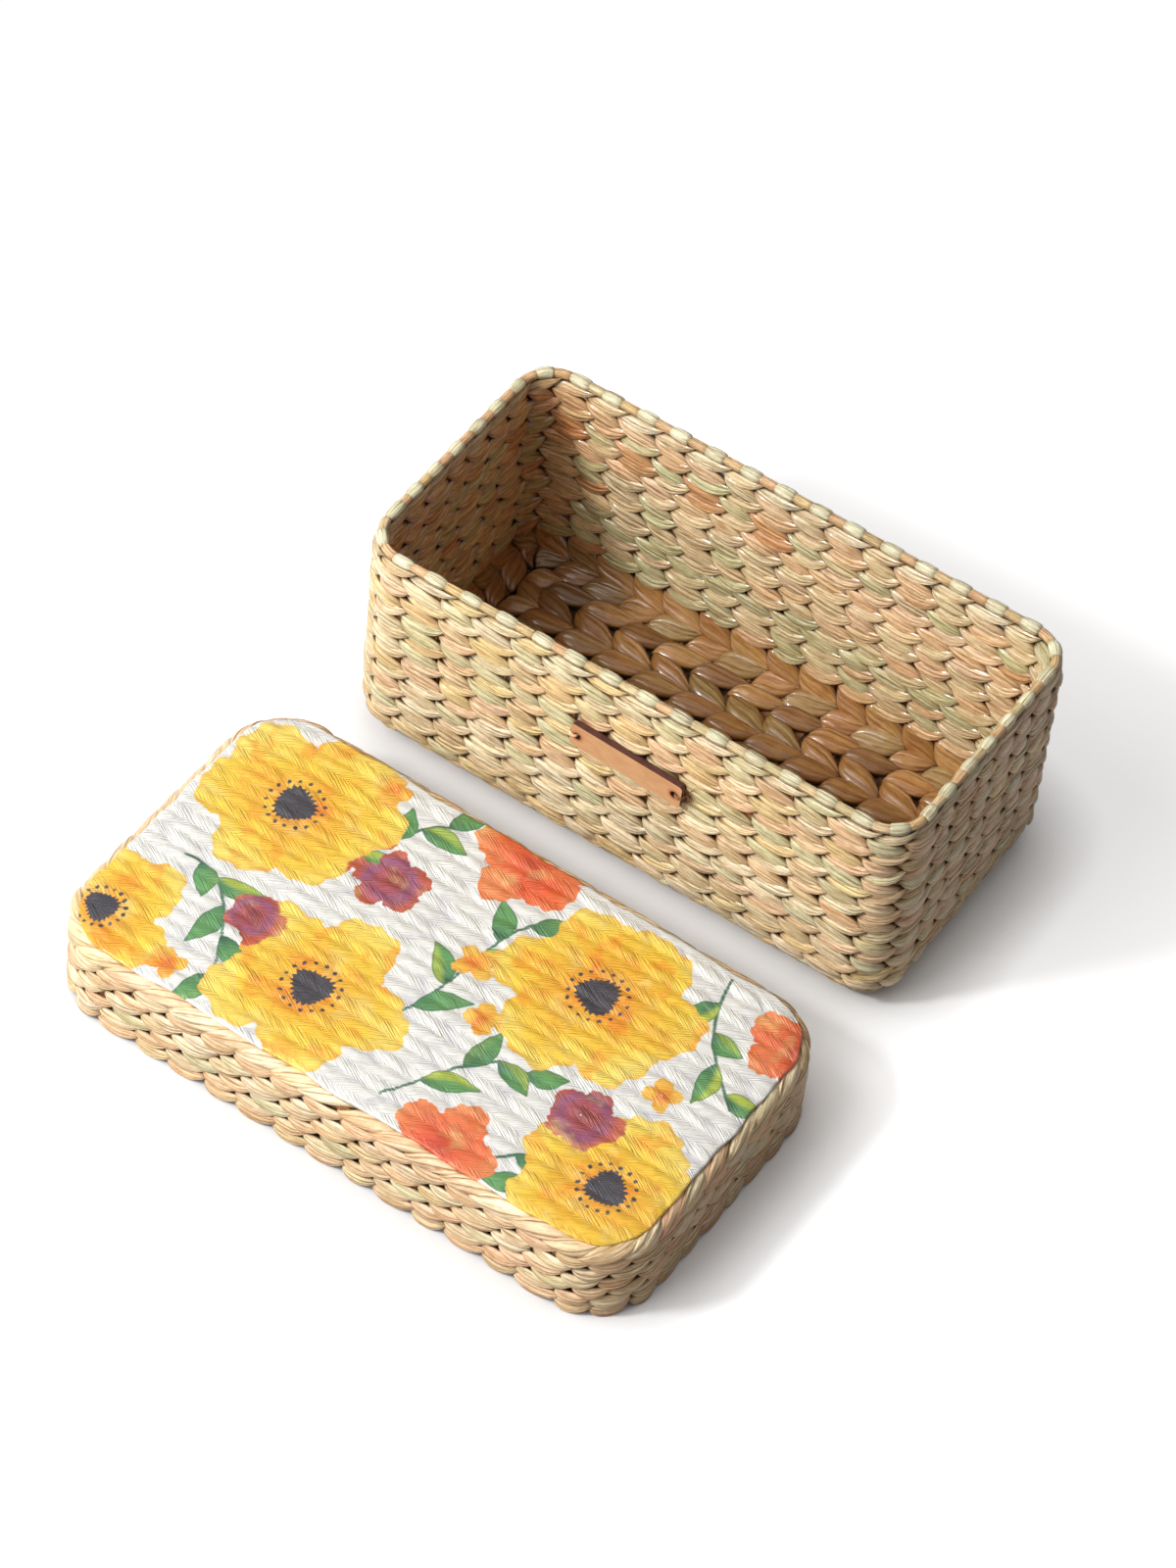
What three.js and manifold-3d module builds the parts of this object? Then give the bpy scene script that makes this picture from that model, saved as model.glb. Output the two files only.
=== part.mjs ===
// A hand-woven reed box with a lift-off lid, standing open with the lid beside it.
// Millimetres, +Z up. The origin is the centre of the box's underside, +X runs along
// the box's length and the lid stands on the -Y side.

import * as THREE from 'three';
import * as BufferGeometryUtils from 'three/addons/utils/BufferGeometryUtils.js';
import Module from 'manifold-3d';

const wasm = await Module();
wasm.setup();

// Clearances and counts that several pieces share
const seatGap = 0.3;
const cutOverrun = 2;
const cornerSteps = 4;
const footSteps = 5;

// Box
const boxLength = 254;
const boxWidth = 128.7;
const boxHeight = 108.3;
const boxCornerRadius = 19;
const footRadius = 17;
const wallThickness = 6.5;
const wallCourseCount = 7;
const topRowHeight = 3.3;
const rimHeight = 5;
const rimRounding = 1.4;

// Courses of twined strands, box and lid alike
const courseBulge = 0.7;
const courseShoulderShare = 0.28;

// Stakes that the strands are twined round
const stakeWidth = 4;
const stakeThickness = 1.4;
const crossStakeCount = 14;
const crossStakeMargin = 2.05;
const endStakeCount = 7;
const endStakeMargin = 2.75;
const endStakeFootWidth = 3;

// Floor
const floorRowCount = 5;
const floorRowCrown = 1.3;
const floorCrownSteps = 4;

// Wooden tag and its two ties
const tagLength = 51.5;
const tagHeight = 11.8;
const tagThickness = 2.9;
const tagCornerRadius = 1.6;
const tagCurveSteps = 8;
const tagShift = 5.2;
const tagDrop = 37.4;
const tagTurn = THREE.MathUtils.degToRad(2.7);
const tagHoleRadius = 1.5;
const tagHoleInset = 3.2;
const tieRadius = 0.55;
const tieSides = 6;
const tieBend = 1.2;
const tieSteps = 14;

// Lid
const lidHeight = 42.4;
const lidCornerRadius = 29;
const lidPlayAlong = 1.8;
const lidPlayOverTag = 0.3;
const lidCourseCount = 3;
const lidShoulderHeight = 9.2;
const lidShoulderRadius = 6.2;
const lidShoulderWidth = 8;
const lidTopThickness = 6.6;
const lidRowPitch = 12.1;
const lidRowRelief = 1;
const lidReliefSteps = 5;
const printThickness = 0.5;
const printInset = 5.6;
const lidStandOff = 35.3;
const lidShift = -5.9;
const lidTurn = THREE.MathUtils.degToRad(-0.915);

// Sizes that follow from the ones above
const lidPlayAcross = seatGap + tagThickness + lidPlayOverTag;
const lidLength = boxLength + 2 * (lidPlayAlong + wallThickness);
const lidWidth = boxWidth + 2 * (lidPlayAcross + wallThickness);
const slotThickness = stakeThickness + 2 * seatGap;
const stakeInset = wallThickness / 2;
const crossStakeSpan = boxLength - 2 * (boxCornerRadius + crossStakeMargin);
const crossStakePitch = crossStakeSpan / (crossStakeCount - 1);
const endStakeSpan = boxWidth - 2 * (boxCornerRadius + endStakeMargin);
const endStakePitch = endStakeSpan / (endStakeCount - 1);
const tagLevel = boxHeight - tagDrop;
const rimBottom = boxHeight - rimHeight;
const topRowBottom = rimBottom - topRowHeight;
const courseHeight = (topRowBottom - footRadius) / wallCourseCount;
const lidShoulderBottom = lidHeight - lidShoulderHeight;
const lidCourseHeight = lidShoulderBottom / lidCourseCount;
const lidTopCrest = lidHeight - printThickness - seatGap;
const lidTopValley = lidTopCrest - lidRowRelief;

const boxOutline = { halfX: boxLength / 2, halfY: boxWidth / 2, radius: boxCornerRadius };
const lidOutline = { halfX: lidLength / 2, halfY: lidWidth / 2, radius: lidCornerRadius };

// Finishes
const finishes = {
  paleReed: { color: 0xd9c79a, roughness: 0.62, metalness: 0 },
  greenReed: { color: 0xc6c79c, roughness: 0.6, metalness: 0 },
  brownReed: { color: 0x8a6433, roughness: 0.38, metalness: 0 },
  stakeReed: { color: 0xa9743c, roughness: 0.7, metalness: 0 },
  tagWood: { color: 0xc08a58, roughness: 0.65, metalness: 0 },
  tieThread: { color: 0x5c4128, roughness: 0.9, metalness: 0 },
  printPaper: { color: 0xeceae2, roughness: 0.5, metalness: 0 },
};

function piece(name, geometry, finish) {
  const mesh = new THREE.Mesh(geometry, new THREE.MeshStandardMaterial(finishes[finish]));
  mesh.name = name;
  return mesh;
}

function numbered(stem, index) {
  return `${stem}_${String(index + 1).padStart(2, '0')}`;
}

// Places along a side for a row of stakes, centred on it
function spread(count, pitch) {
  return Array.from({ length: count }, (_, index) => (index - (count - 1) / 2) * pitch);
}

// Joining and cutting
function toSolid(geometry) {
  const bare = geometry.clone();
  bare.deleteAttribute('normal');
  bare.deleteAttribute('uv');
  const merged = BufferGeometryUtils.mergeVertices(bare);
  const vertProperties = new Float32Array(merged.attributes.position.array);
  const triVerts = new Uint32Array(merged.index.array);
  return new wasm.Manifold(new wasm.Mesh({ numProp: 3, vertProperties, triVerts }));
}

function toGeometry(solid) {
  const mesh = solid.getMesh();
  const geometry = new THREE.BufferGeometry();
  geometry.setAttribute('position', new THREE.BufferAttribute(mesh.vertProperties, 3));
  geometry.setIndex(new THREE.BufferAttribute(mesh.triVerts, 1));
  geometry.computeVertexNormals();
  return geometry;
}

function block(sizeX, sizeY, sizeZ, centreX, centreY, centreZ) {
  return new THREE.BoxGeometry(sizeX, sizeY, sizeZ).translate(centreX, centreY, centreZ);
}

// A rounded rectangle's points, drawn in from an outline, anticlockwise from above
function outlinePoints(outline, inset) {
  const radius = outline.radius - inset;
  const centreX = outline.halfX - outline.radius;
  const centreY = outline.halfY - outline.radius;
  const corners = [[1, 1], [-1, 1], [-1, -1], [1, -1]];
  return corners.flatMap(([sideX, sideY], corner) => {
    const points = [];
    for (let step = 0; step <= cornerSteps; step += 1) {
      const angle = (Math.PI / 2) * (corner + step / cornerSteps);
      const x = sideX * centreX + radius * Math.cos(angle);
      const y = sideY * centreY + radius * Math.sin(angle);
      points.push([x, y]);
    }
    return points;
  });
}

// A ring round an outline. The section is a closed list of [inset, z], anticlockwise
// when inset grows to the left.
function ring(outline, section) {
  const loops = section.map(([inset, z]) => outlinePoints(outline, inset).map(([x, y]) => [x, y, z]));
  const around = loops[0].length;
  const across = loops.length;
  const positions = loops.flat(2);
  const index = [];
  for (let j = 0; j < across; j += 1) {
    const nextJ = (j + 1) % across;
    for (let i = 0; i < around; i += 1) {
      const nextI = (i + 1) % around;
      const here = j * around + i;
      const beside = j * around + nextI;
      const above = nextJ * around + i;
      const aboveBeside = nextJ * around + nextI;
      index.push(here, beside, aboveBeside, here, aboveBeside, above);
    }
  }
  const geometry = new THREE.BufferGeometry();
  geometry.setAttribute('position', new THREE.Float32BufferAttribute(positions, 3));
  geometry.setIndex(index);
  return geometry;
}

// A rounded plate drawn in from an outline
function plateSolid(outline, inset, bottom, top) {
  const corners = outlinePoints(outline, inset).map(([x, y]) => new THREE.Vector2(x, y));
  const settings = { depth: top - bottom, bevelEnabled: false };
  const plate = new THREE.ExtrudeGeometry(new THREE.Shape(corners), settings);
  return toSolid(plate.translate(0, 0, bottom));
}

// The section of one twined course: both faces swell between the seams
function courseSection(bottom, top) {
  const shoulder = (top - bottom) * courseShoulderShare;
  return [
    [courseBulge, bottom],
    [0, bottom + shoulder],
    [0, top - shoulder],
    [courseBulge, top],
    [wallThickness - courseBulge, top],
    [wallThickness, top - shoulder],
    [wallThickness, bottom + shoulder],
    [wallThickness - courseBulge, bottom],
  ];
}

// The room that the stakes leave in a wall: a long slot on each side, and one at each corner
function stakeSlots(outline, bottom, top, withCorners) {
  const height = top - bottom;
  const level = (top + bottom) / 2;
  const alongX = crossStakeSpan + stakeWidth + 2 * seatGap;
  const alongY = endStakeSpan + stakeWidth + 2 * seatGap;
  const wallX = outline.halfX - stakeInset;
  const wallY = outline.halfY - stakeInset;
  const slots = [-1, 1].flatMap((side) => [
    block(alongX, slotThickness, height, 0, side * wallY, level),
    block(slotThickness, alongY, height, side * wallX, 0, level),
  ]);
  if (withCorners) {
    for (const { x, y, turn } of cornerPlaces(outline)) {
      const slot = block(slotThickness, stakeWidth + 2 * seatGap, height, 0, 0, level);
      slots.push(slot.rotateZ(turn).translate(x, y, 0));
    }
  }
  return slots;
}

// The middle of each rounded corner, half way through the wall
function cornerPlaces(outline) {
  const reach = (outline.radius - stakeInset) * Math.SQRT1_2;
  const corners = [[1, 1], [-1, 1], [-1, -1], [1, -1]];
  return corners.map(([sideX, sideY]) => ({
    x: sideX * (outline.halfX - outline.radius + reach),
    y: sideY * (outline.halfY - outline.radius + reach),
    turn: sideX * sideY * (Math.PI / 4),
  }));
}

function slottedRing(outline, section, slots) {
  let solid = toSolid(ring(outline, section));
  for (const slot of slots) {
    solid = solid.subtract(toSolid(slot));
  }
  return toGeometry(solid);
}

// Box walls

function wallCourses() {
  const courses = [];
  for (let index = 0; index < wallCourseCount; index += 1) {
    const bottom = footRadius + index * courseHeight + seatGap;
    const top = footRadius + (index + 1) * courseHeight;
    const slots = stakeSlots(boxOutline, bottom - cutOverrun, top + cutOverrun, true);
    const geometry = slottedRing(boxOutline, courseSection(bottom, top), slots);
    courses.push(piece(numbered('wall_course', index), geometry, index % 2 ? 'greenReed' : 'paleReed'));
  }
  return courses;
}

function topRow() {
  const bottom = topRowBottom + seatGap;
  const slots = stakeSlots(boxOutline, bottom - cutOverrun, rimBottom + cutOverrun, true);
  const geometry = slottedRing(boxOutline, courseSection(bottom, rimBottom), slots);
  return piece('wall_top_row', geometry, 'paleReed');
}

function rimBorder() {
  const bottom = rimBottom + seatGap;
  const inner = wallThickness - courseBulge;
  const section = [
    [courseBulge, bottom],
    [0, bottom + rimRounding],
    [courseBulge, boxHeight - rimRounding],
    [courseBulge + rimRounding, boxHeight],
    [inner - rimRounding, boxHeight],
    [inner, boxHeight - rimRounding],
    [wallThickness, bottom + rimRounding],
    [inner, bottom],
  ];
  return piece('rim_border', ring(boxOutline, section), 'greenReed');
}

// A quarter-round band under the walls, between two depths below the outer face
function footSection(outerDepth, innerDepth) {
  const arc = (depth, step) => {
    const angle = (Math.PI / 2) * (step / footSteps);
    const reach = footRadius - depth;
    return [footRadius - reach * Math.cos(angle), footRadius - reach * Math.sin(angle)];
  };
  const steps = Array.from({ length: footSteps + 1 }, (_, step) => step);
  const outerArc = steps.map((step) => arc(outerDepth, step)).reverse();
  const innerArc = steps.map((step) => arc(innerDepth, step));
  return [...outerArc, ...innerArc];
}

const footSlotOuter = stakeInset - slotThickness / 2;
const footSlotInner = stakeInset + slotThickness / 2;

function baseCourse() {
  return piece('base_course', ring(boxOutline, footSection(0, footSlotOuter)), 'paleReed');
}

function floorEdgeRow() {
  return piece('floor_edge_row', ring(boxOutline, footSection(footSlotInner, wallThickness)), 'brownReed');
}

// Floor rows: thick strands laid along the box, with one slot where all cross stakes pass
function floorRows() {
  const halfLength = boxLength / 2 - footRadius - seatGap;
  const rowPitch = (boxWidth - 2 * footRadius) / floorRowCount;
  const halfRow = (rowPitch - seatGap) / 2;
  const shoulderLevel = wallThickness - floorRowCrown;
  const slotLength = crossStakeSpan + stakeWidth + 2 * seatGap;
  const field = plateSolid(boxOutline, footRadius + seatGap, -cutOverrun, wallThickness + cutOverrun);
  return spread(floorRowCount, rowPitch).map((y, index) => {
    const section = new THREE.Shape();
    section.moveTo(-halfRow, 0);
    section.lineTo(halfRow, 0);
    for (let step = 0; step <= floorCrownSteps; step += 1) {
      const angle = Math.PI * (step / floorCrownSteps);
      section.lineTo(halfRow * Math.cos(angle), shoulderLevel + floorRowCrown * Math.sin(angle));
    }
    const row = new THREE.ExtrudeGeometry(section, { depth: 2 * halfLength, bevelEnabled: false });
    row.translate(0, 0, -halfLength).rotateX(Math.PI / 2).rotateZ(Math.PI / 2).translate(0, y, 0);
    const slot = block(slotLength, rowPitch + cutOverrun, slotThickness, 0, y, stakeInset);
    const solid = toSolid(row).intersect(field).subtract(toSolid(slot));
    return piece(numbered('floor_row', index), toGeometry(solid), 'brownReed');
  });
}

// A flat strip bent along a line of [sideways, up] points, given its two faces
function stripGeometry(outerFace, innerFace, width) {
  const shape = new THREE.Shape();
  outerFace.forEach(([x, y], index) => (index ? shape.lineTo(x, y) : shape.moveTo(x, y)));
  innerFace.slice().reverse().forEach(([x, y]) => shape.lineTo(x, y));
  const strip = new THREE.ExtrudeGeometry(shape, { depth: width, bevelEnabled: false });
  return strip.translate(0, 0, -width / 2);
}

// One face of a stake: down the wall and round the foot to a share of the quarter turn
function stakeFace(halfSpan, depth, turnShare) {
  const points = [[halfSpan - depth, rimBottom]];
  for (let step = 0; step <= footSteps; step += 1) {
    const angle = (Math.PI / 2) * turnShare * (step / footSteps);
    const reach = footRadius - depth;
    points.push([halfSpan - footRadius + reach * Math.cos(angle), footRadius - reach * Math.sin(angle)]);
  }
  return points;
}

const stakeOuterDepth = stakeInset - stakeThickness / 2;
const stakeInnerDepth = stakeInset + stakeThickness / 2;

// Cross stakes run up one long wall, under the floor and up the other
function crossStakes() {
  const bothWays = (points) => [...points, ...points.map(([y, z]) => [-y, z]).reverse()];
  const outerFace = bothWays(stakeFace(boxWidth / 2, stakeOuterDepth, 1));
  const innerFace = bothWays(stakeFace(boxWidth / 2, stakeInnerDepth, 1));
  return spread(crossStakeCount, crossStakePitch).map((x, index) => {
    const strip = stripGeometry(outerFace, innerFace, stakeWidth);
    strip.rotateX(Math.PI / 2).rotateZ(Math.PI / 2).translate(x, 0, 0);
    return piece(numbered('cross_stake', index), strip, 'stakeReed');
  });
}

// End stakes stand in a short wall, and their feet turn in beside the last cross stake
function endStakes(name, side) {
  const lastStake = (crossStakeSpan + stakeWidth) / 2;
  const reach = footRadius - stakeInnerDepth;
  const footRun = lastStake + seatGap - (boxLength / 2 - footRadius);
  const turnShare = 1 - Math.asin(Math.max(footRun, seatGap) / reach) / (Math.PI / 2);
  const outerFace = stakeFace(boxLength / 2, stakeOuterDepth, turnShare);
  const innerFace = stakeFace(boxLength / 2, stakeInnerDepth, turnShare);
  const place = (strip, y) => {
    strip.rotateX(Math.PI / 2).translate(0, y, 0);
    return side < 0 ? strip.rotateZ(Math.PI) : strip;
  };
  const places = spread(endStakeCount, endStakePitch);
  let solid = null;
  for (const y of places) {
    const stake = toSolid(place(stripGeometry(outerFace, innerFace, stakeWidth), y));
    solid = solid ? solid.add(stake) : stake;
  }
  const footFrom = 1 - endStakeFootWidth / (reach * turnShare * (Math.PI / 2));
  const footFace = (depth) => {
    const angles = [footFrom, 1].map((share) => (Math.PI / 2) * turnShare * share);
    const arm = footRadius - depth;
    return angles.map((angle) => [
      boxLength / 2 - footRadius + arm * Math.cos(angle),
      footRadius - arm * Math.sin(angle),
    ]);
  };
  const footLength = endStakeSpan + stakeWidth;
  const foot = stripGeometry(footFace(stakeOuterDepth), footFace(stakeInnerDepth), footLength);
  return piece(name, toGeometry(solid.add(toSolid(place(foot, 0)))), 'stakeReed');
}

// Corner stakes stand upright in the corners, from the foot to the rim
function cornerStakes() {
  const bottom = footRadius + seatGap;
  const names = ['corner_stake_far_right', 'corner_stake_far_left'];
  names.push('corner_stake_near_left', 'corner_stake_near_right');
  return cornerPlaces(boxOutline).map(({ x, y, turn }, index) => {
    const level = (bottom + rimBottom) / 2;
    const stake = block(stakeThickness, stakeWidth, rimBottom - bottom, 0, 0, level);
    return piece(names[index], stake.rotateZ(turn).translate(x, y, 0), 'stakeReed');
  });
}

// Wooden tag: a small rounded plate with a hole at each end

const tagHoleReach = tagLength / 2 - tagHoleInset;
const tagBack = boxWidth / 2 + seatGap;
const tagFront = tagBack + tagThickness;

function wallTag() {
  const halfX = tagLength / 2 - tagCornerRadius;
  const halfY = tagHeight / 2 - tagCornerRadius;
  const plate = new THREE.Shape();
  plate.absarc(halfX, halfY, tagCornerRadius, 0, Math.PI / 2, false);
  plate.absarc(-halfX, halfY, tagCornerRadius, Math.PI / 2, Math.PI, false);
  plate.absarc(-halfX, -halfY, tagCornerRadius, Math.PI, (3 * Math.PI) / 2, false);
  plate.absarc(halfX, -halfY, tagCornerRadius, (3 * Math.PI) / 2, 2 * Math.PI, false);
  for (const side of [-1, 1]) {
    const hole = new THREE.Path();
    hole.absarc(side * tagHoleReach, 0, tagHoleRadius, 0, 2 * Math.PI, true);
    plate.holes.push(hole);
  }
  const settings = { depth: tagThickness, bevelEnabled: false, curveSegments: tagCurveSteps };
  const geometry = new THREE.ExtrudeGeometry(plate, settings);
  geometry.rotateX(Math.PI / 2).translate(0, -tagBack, 0);
  return piece('wall_tag', geometry, 'tagWood');
}

// A tie comes out of the wall, through a hole, over the tag's end and back to the wall
function tagTie(name, side) {
  const wall = boxWidth / 2 + seatGap / 2;
  const over = tagFront + seatGap + tieRadius;
  const holeX = side * tagHoleReach;
  const endX = side * (tagLength / 2 + seatGap + tieRadius);
  const route = new THREE.CurvePath();
  const corner = (fromX, fromY, cornerX, cornerY, toX, toY) => new THREE.QuadraticBezierCurve3(
    new THREE.Vector3(fromX, fromY, 0),
    new THREE.Vector3(cornerX, cornerY, 0),
    new THREE.Vector3(toX, toY, 0),
  );
  const straight = (fromX, fromY, toX, toY) => new THREE.LineCurve3(
    new THREE.Vector3(fromX, fromY, 0),
    new THREE.Vector3(toX, toY, 0),
  );
  const bend = side * tieBend;
  route.add(straight(holeX, -wall, holeX, -over + tieBend));
  route.add(corner(holeX, -over + tieBend, holeX, -over, holeX + bend, -over));
  route.add(straight(holeX + bend, -over, endX - bend, -over));
  route.add(corner(endX - bend, -over, endX, -over, endX, -over + tieBend));
  route.add(straight(endX, -over + tieBend, endX, -wall));
  const section = new THREE.Shape();
  section.absarc(0, 0, tieRadius, 0, 2 * Math.PI, false);
  const settings = { steps: tieSteps, extrudePath: route, curveSegments: tieSides };
  return piece(name, new THREE.ExtrudeGeometry(section, settings), 'tieThread');
}

// Lid

function lidCourses() {
  const courses = [];
  for (let index = 0; index < lidCourseCount; index += 1) {
    const bottom = index * lidCourseHeight + (index ? seatGap : 0);
    const top = (index + 1) * lidCourseHeight;
    const slotBottom = index ? bottom - cutOverrun : stakeInset;
    const slots = stakeSlots(lidOutline, slotBottom, top + cutOverrun, false);
    const geometry = slottedRing(lidOutline, courseSection(bottom, top), slots);
    courses.push(piece(numbered('lid_course', index), geometry, index % 2 ? 'greenReed' : 'paleReed'));
  }
  return courses;
}

const lidStakeTop = lidTopValley - lidShoulderRadius / 2;

// The top edge row turns the lid's side into its top, and a groove takes the stakes' heads
function lidShoulder() {
  const bottom = lidShoulderBottom + seatGap;
  const arcSteps = Array.from({ length: footSteps }, (_, step) => (step + 1) / footSteps);
  const arc = arcSteps.map((share) => {
    const angle = (Math.PI / 2) * share;
    const inset = lidShoulderRadius * (1 - Math.cos(angle));
    return [inset, lidTopValley - lidShoulderRadius * (1 - Math.sin(angle))];
  });
  const section = [
    [courseBulge, bottom],
    [0, lidTopValley - lidShoulderRadius],
    ...arc,
    [lidShoulderWidth, lidTopValley],
    [lidShoulderWidth, bottom + courseBulge],
    [wallThickness - courseBulge, bottom],
  ];
  const slots = stakeSlots(lidOutline, bottom - cutOverrun, lidStakeTop + seatGap, false);
  return piece('lid_shoulder_row', slottedRing(lidOutline, section, slots), 'paleReed');
}

// The height of the lid's ribbed top over its valleys, across the rows
function reliefLine(level) {
  const rows = Math.round((lidWidth - 2 * lidShoulderWidth) / lidRowPitch);
  const pitch = (lidWidth - 2 * lidShoulderWidth) / rows;
  const line = [];
  for (let step = -lidReliefSteps; step <= (rows + 1) * lidReliefSteps; step += 1) {
    const share = step / lidReliefSteps;
    const y = share * pitch - (rows * pitch) / 2;
    line.push([y, level + lidRowRelief * Math.abs(Math.sin(Math.PI * share))]);
  }
  return line;
}

function ribbedSlab(topLine, bottomLine) {
  const slab = stripGeometry(topLine, bottomLine, lidLength);
  return slab.rotateX(Math.PI / 2).rotateZ(Math.PI / 2);
}

function lidTopPanel() {
  const bottom = lidTopCrest - lidTopThickness;
  const topLine = reliefLine(lidTopValley);
  const bottomLine = [topLine[0], topLine[topLine.length - 1]].map(([y]) => [y, bottom]);
  const plate = plateSolid(lidOutline, lidShoulderWidth + seatGap, bottom - cutOverrun, lidHeight);
  const solid = plate.intersect(toSolid(ribbedSlab(topLine, bottomLine)));
  return piece('lid_top_panel', toGeometry(solid), 'paleReed');
}

function lidPrint() {
  const topLine = reliefLine(lidTopValley + seatGap + printThickness);
  const bottomLine = reliefLine(lidTopValley + seatGap);
  const plate = plateSolid(lidOutline, printInset, lidTopValley - cutOverrun, lidHeight + cutOverrun);
  const solid = plate.intersect(toSolid(ribbedSlab(topLine, bottomLine)));
  return piece('lid_print', toGeometry(solid), 'printPaper');
}

// The lid's stakes stand in its side walls, joined at their heads, one comb for each side
function lidStakes(name, count, pitch, wall, turn) {
  const bottom = stakeInset + seatGap;
  const headBottom = lidStakeTop - stakeWidth / 2;
  const length = (count - 1) * pitch + stakeWidth;
  const headLevel = (lidStakeTop + headBottom) / 2;
  let solid = toSolid(block(length, stakeThickness, lidStakeTop - headBottom, 0, wall, headLevel));
  for (const x of spread(count, pitch)) {
    const level = (lidStakeTop + bottom) / 2;
    const stake = block(stakeWidth, stakeThickness, lidStakeTop - bottom, x, wall, level);
    solid = solid.add(toSolid(stake));
  }
  return piece(name, toGeometry(solid).rotateZ(turn), 'stakeReed');
}

// Assembly

const box = new THREE.Group();
box.add(baseCourse(), floorEdgeRow(), ...floorRows());
box.add(...crossStakes(), ...cornerStakes());
box.add(endStakes('end_stakes_left', -1), endStakes('end_stakes_right', 1));
box.add(...wallCourses(), topRow(), rimBorder());

const tag = new THREE.Group();
tag.position.set(tagShift, 0, tagLevel);
tag.rotation.y = tagTurn;
tag.add(wallTag(), tagTie('tag_tie_left', -1), tagTie('tag_tie_right', 1));
box.add(tag);

const lid = new THREE.Group();
const lidWallX = lidLength / 2 - stakeInset;
const lidWallY = lidWidth / 2 - stakeInset;
lid.position.set(lidShift, -(boxWidth + lidWidth) / 2 - lidStandOff, 0);
lid.rotation.z = lidTurn;
lid.add(...lidCourses(), lidShoulder(), lidTopPanel(), lidPrint());
lid.add(lidStakes('lid_stakes_far', crossStakeCount, crossStakePitch, lidWallY, 0));
lid.add(lidStakes('lid_stakes_near', crossStakeCount, crossStakePitch, lidWallY, Math.PI));
lid.add(lidStakes('lid_stakes_left', endStakeCount, endStakePitch, lidWallX, Math.PI / 2));
lid.add(lidStakes('lid_stakes_right', endStakeCount, endStakePitch, lidWallX, -Math.PI / 2));

const wovenBox = new THREE.Group();
wovenBox.add(box, lid);

export default wovenBox;
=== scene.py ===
import bpy
import math
import numpy as np
from mathutils import Matrix, Vector


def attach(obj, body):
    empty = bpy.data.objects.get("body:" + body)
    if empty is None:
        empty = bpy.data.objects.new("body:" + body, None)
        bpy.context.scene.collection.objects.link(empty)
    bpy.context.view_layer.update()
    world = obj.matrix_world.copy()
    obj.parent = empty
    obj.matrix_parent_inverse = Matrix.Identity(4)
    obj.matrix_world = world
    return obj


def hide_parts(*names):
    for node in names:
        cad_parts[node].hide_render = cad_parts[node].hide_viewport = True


# Woven reed box with its lid beside it. Lengths are in millimetres until a mesh is made.

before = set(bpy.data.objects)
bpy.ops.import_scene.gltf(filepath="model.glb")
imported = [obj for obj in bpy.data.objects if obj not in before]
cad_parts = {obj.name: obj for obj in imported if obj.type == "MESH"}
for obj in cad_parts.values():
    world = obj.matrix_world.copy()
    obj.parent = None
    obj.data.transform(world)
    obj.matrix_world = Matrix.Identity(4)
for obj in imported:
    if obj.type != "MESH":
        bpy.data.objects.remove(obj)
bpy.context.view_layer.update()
print("frame loaded")

mm = 0.001

# Camera

cameraSetup = {
    "place": (738.62, -1425.37, 1899.69),
    "yaw": -28.874,
    "pitch": 50.051,
    "roll": 6.658,
    "lens": 142.75,
    "sensor": 36,
    "nearest": 50,
    "farthest": 20000,
}


def addCamera(setup):
    yaw, pitch, roll = (math.radians(setup[key]) for key in ("yaw", "pitch", "roll"))
    ahead = Vector((math.sin(yaw) * math.cos(pitch), math.cos(yaw) * math.cos(pitch), -math.sin(pitch)))
    level = ahead.cross(Vector((0, 0, 1))).normalized()
    upright = level.cross(ahead)
    right = level * math.cos(roll) + upright * math.sin(roll)
    up = upright * math.cos(roll) - level * math.sin(roll)
    data = bpy.data.cameras.new("camera")
    data.lens = setup["lens"]
    data.sensor_width = setup["sensor"]
    data.sensor_height = setup["sensor"]
    data.sensor_fit = "AUTO"
    data.clip_start = setup["nearest"] * mm
    data.clip_end = setup["farthest"] * mm
    camera = bpy.data.objects.new("camera", data)
    turn = Matrix((right, up, -ahead)).transposed()
    camera.matrix_world = Matrix.Translation(Vector(setup["place"]) * mm) @ turn.to_4x4()
    bpy.context.scene.collection.objects.link(camera)
    bpy.context.scene.camera = camera


addCamera(cameraSetup)
print("camera placed")

# Sizes shared with the solids

boxShape = {"halfX": 127.0, "halfY": 64.35, "radius": 19.0}
lidShape = {"halfX": 135.3, "halfY": 74.35, "radius": 29.0}
lidPlace = {"x": -5.9, "y": -174.0, "turn": -0.915}
stakeRows = {
    "longCount": 14, "longPitch": 16.3, "shortCount": 7, "shortPitch": 14.2,
    "boxCorner": 1, "lidCorner": 2,
}

# Node helpers


def linear(red, green, blue):
    def channel(value):
        value = value / 255
        return value / 12.92 if value <= 0.04045 else ((value + 0.055) / 1.055) ** 2.4
    return (channel(red), channel(green), channel(blue))


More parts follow.
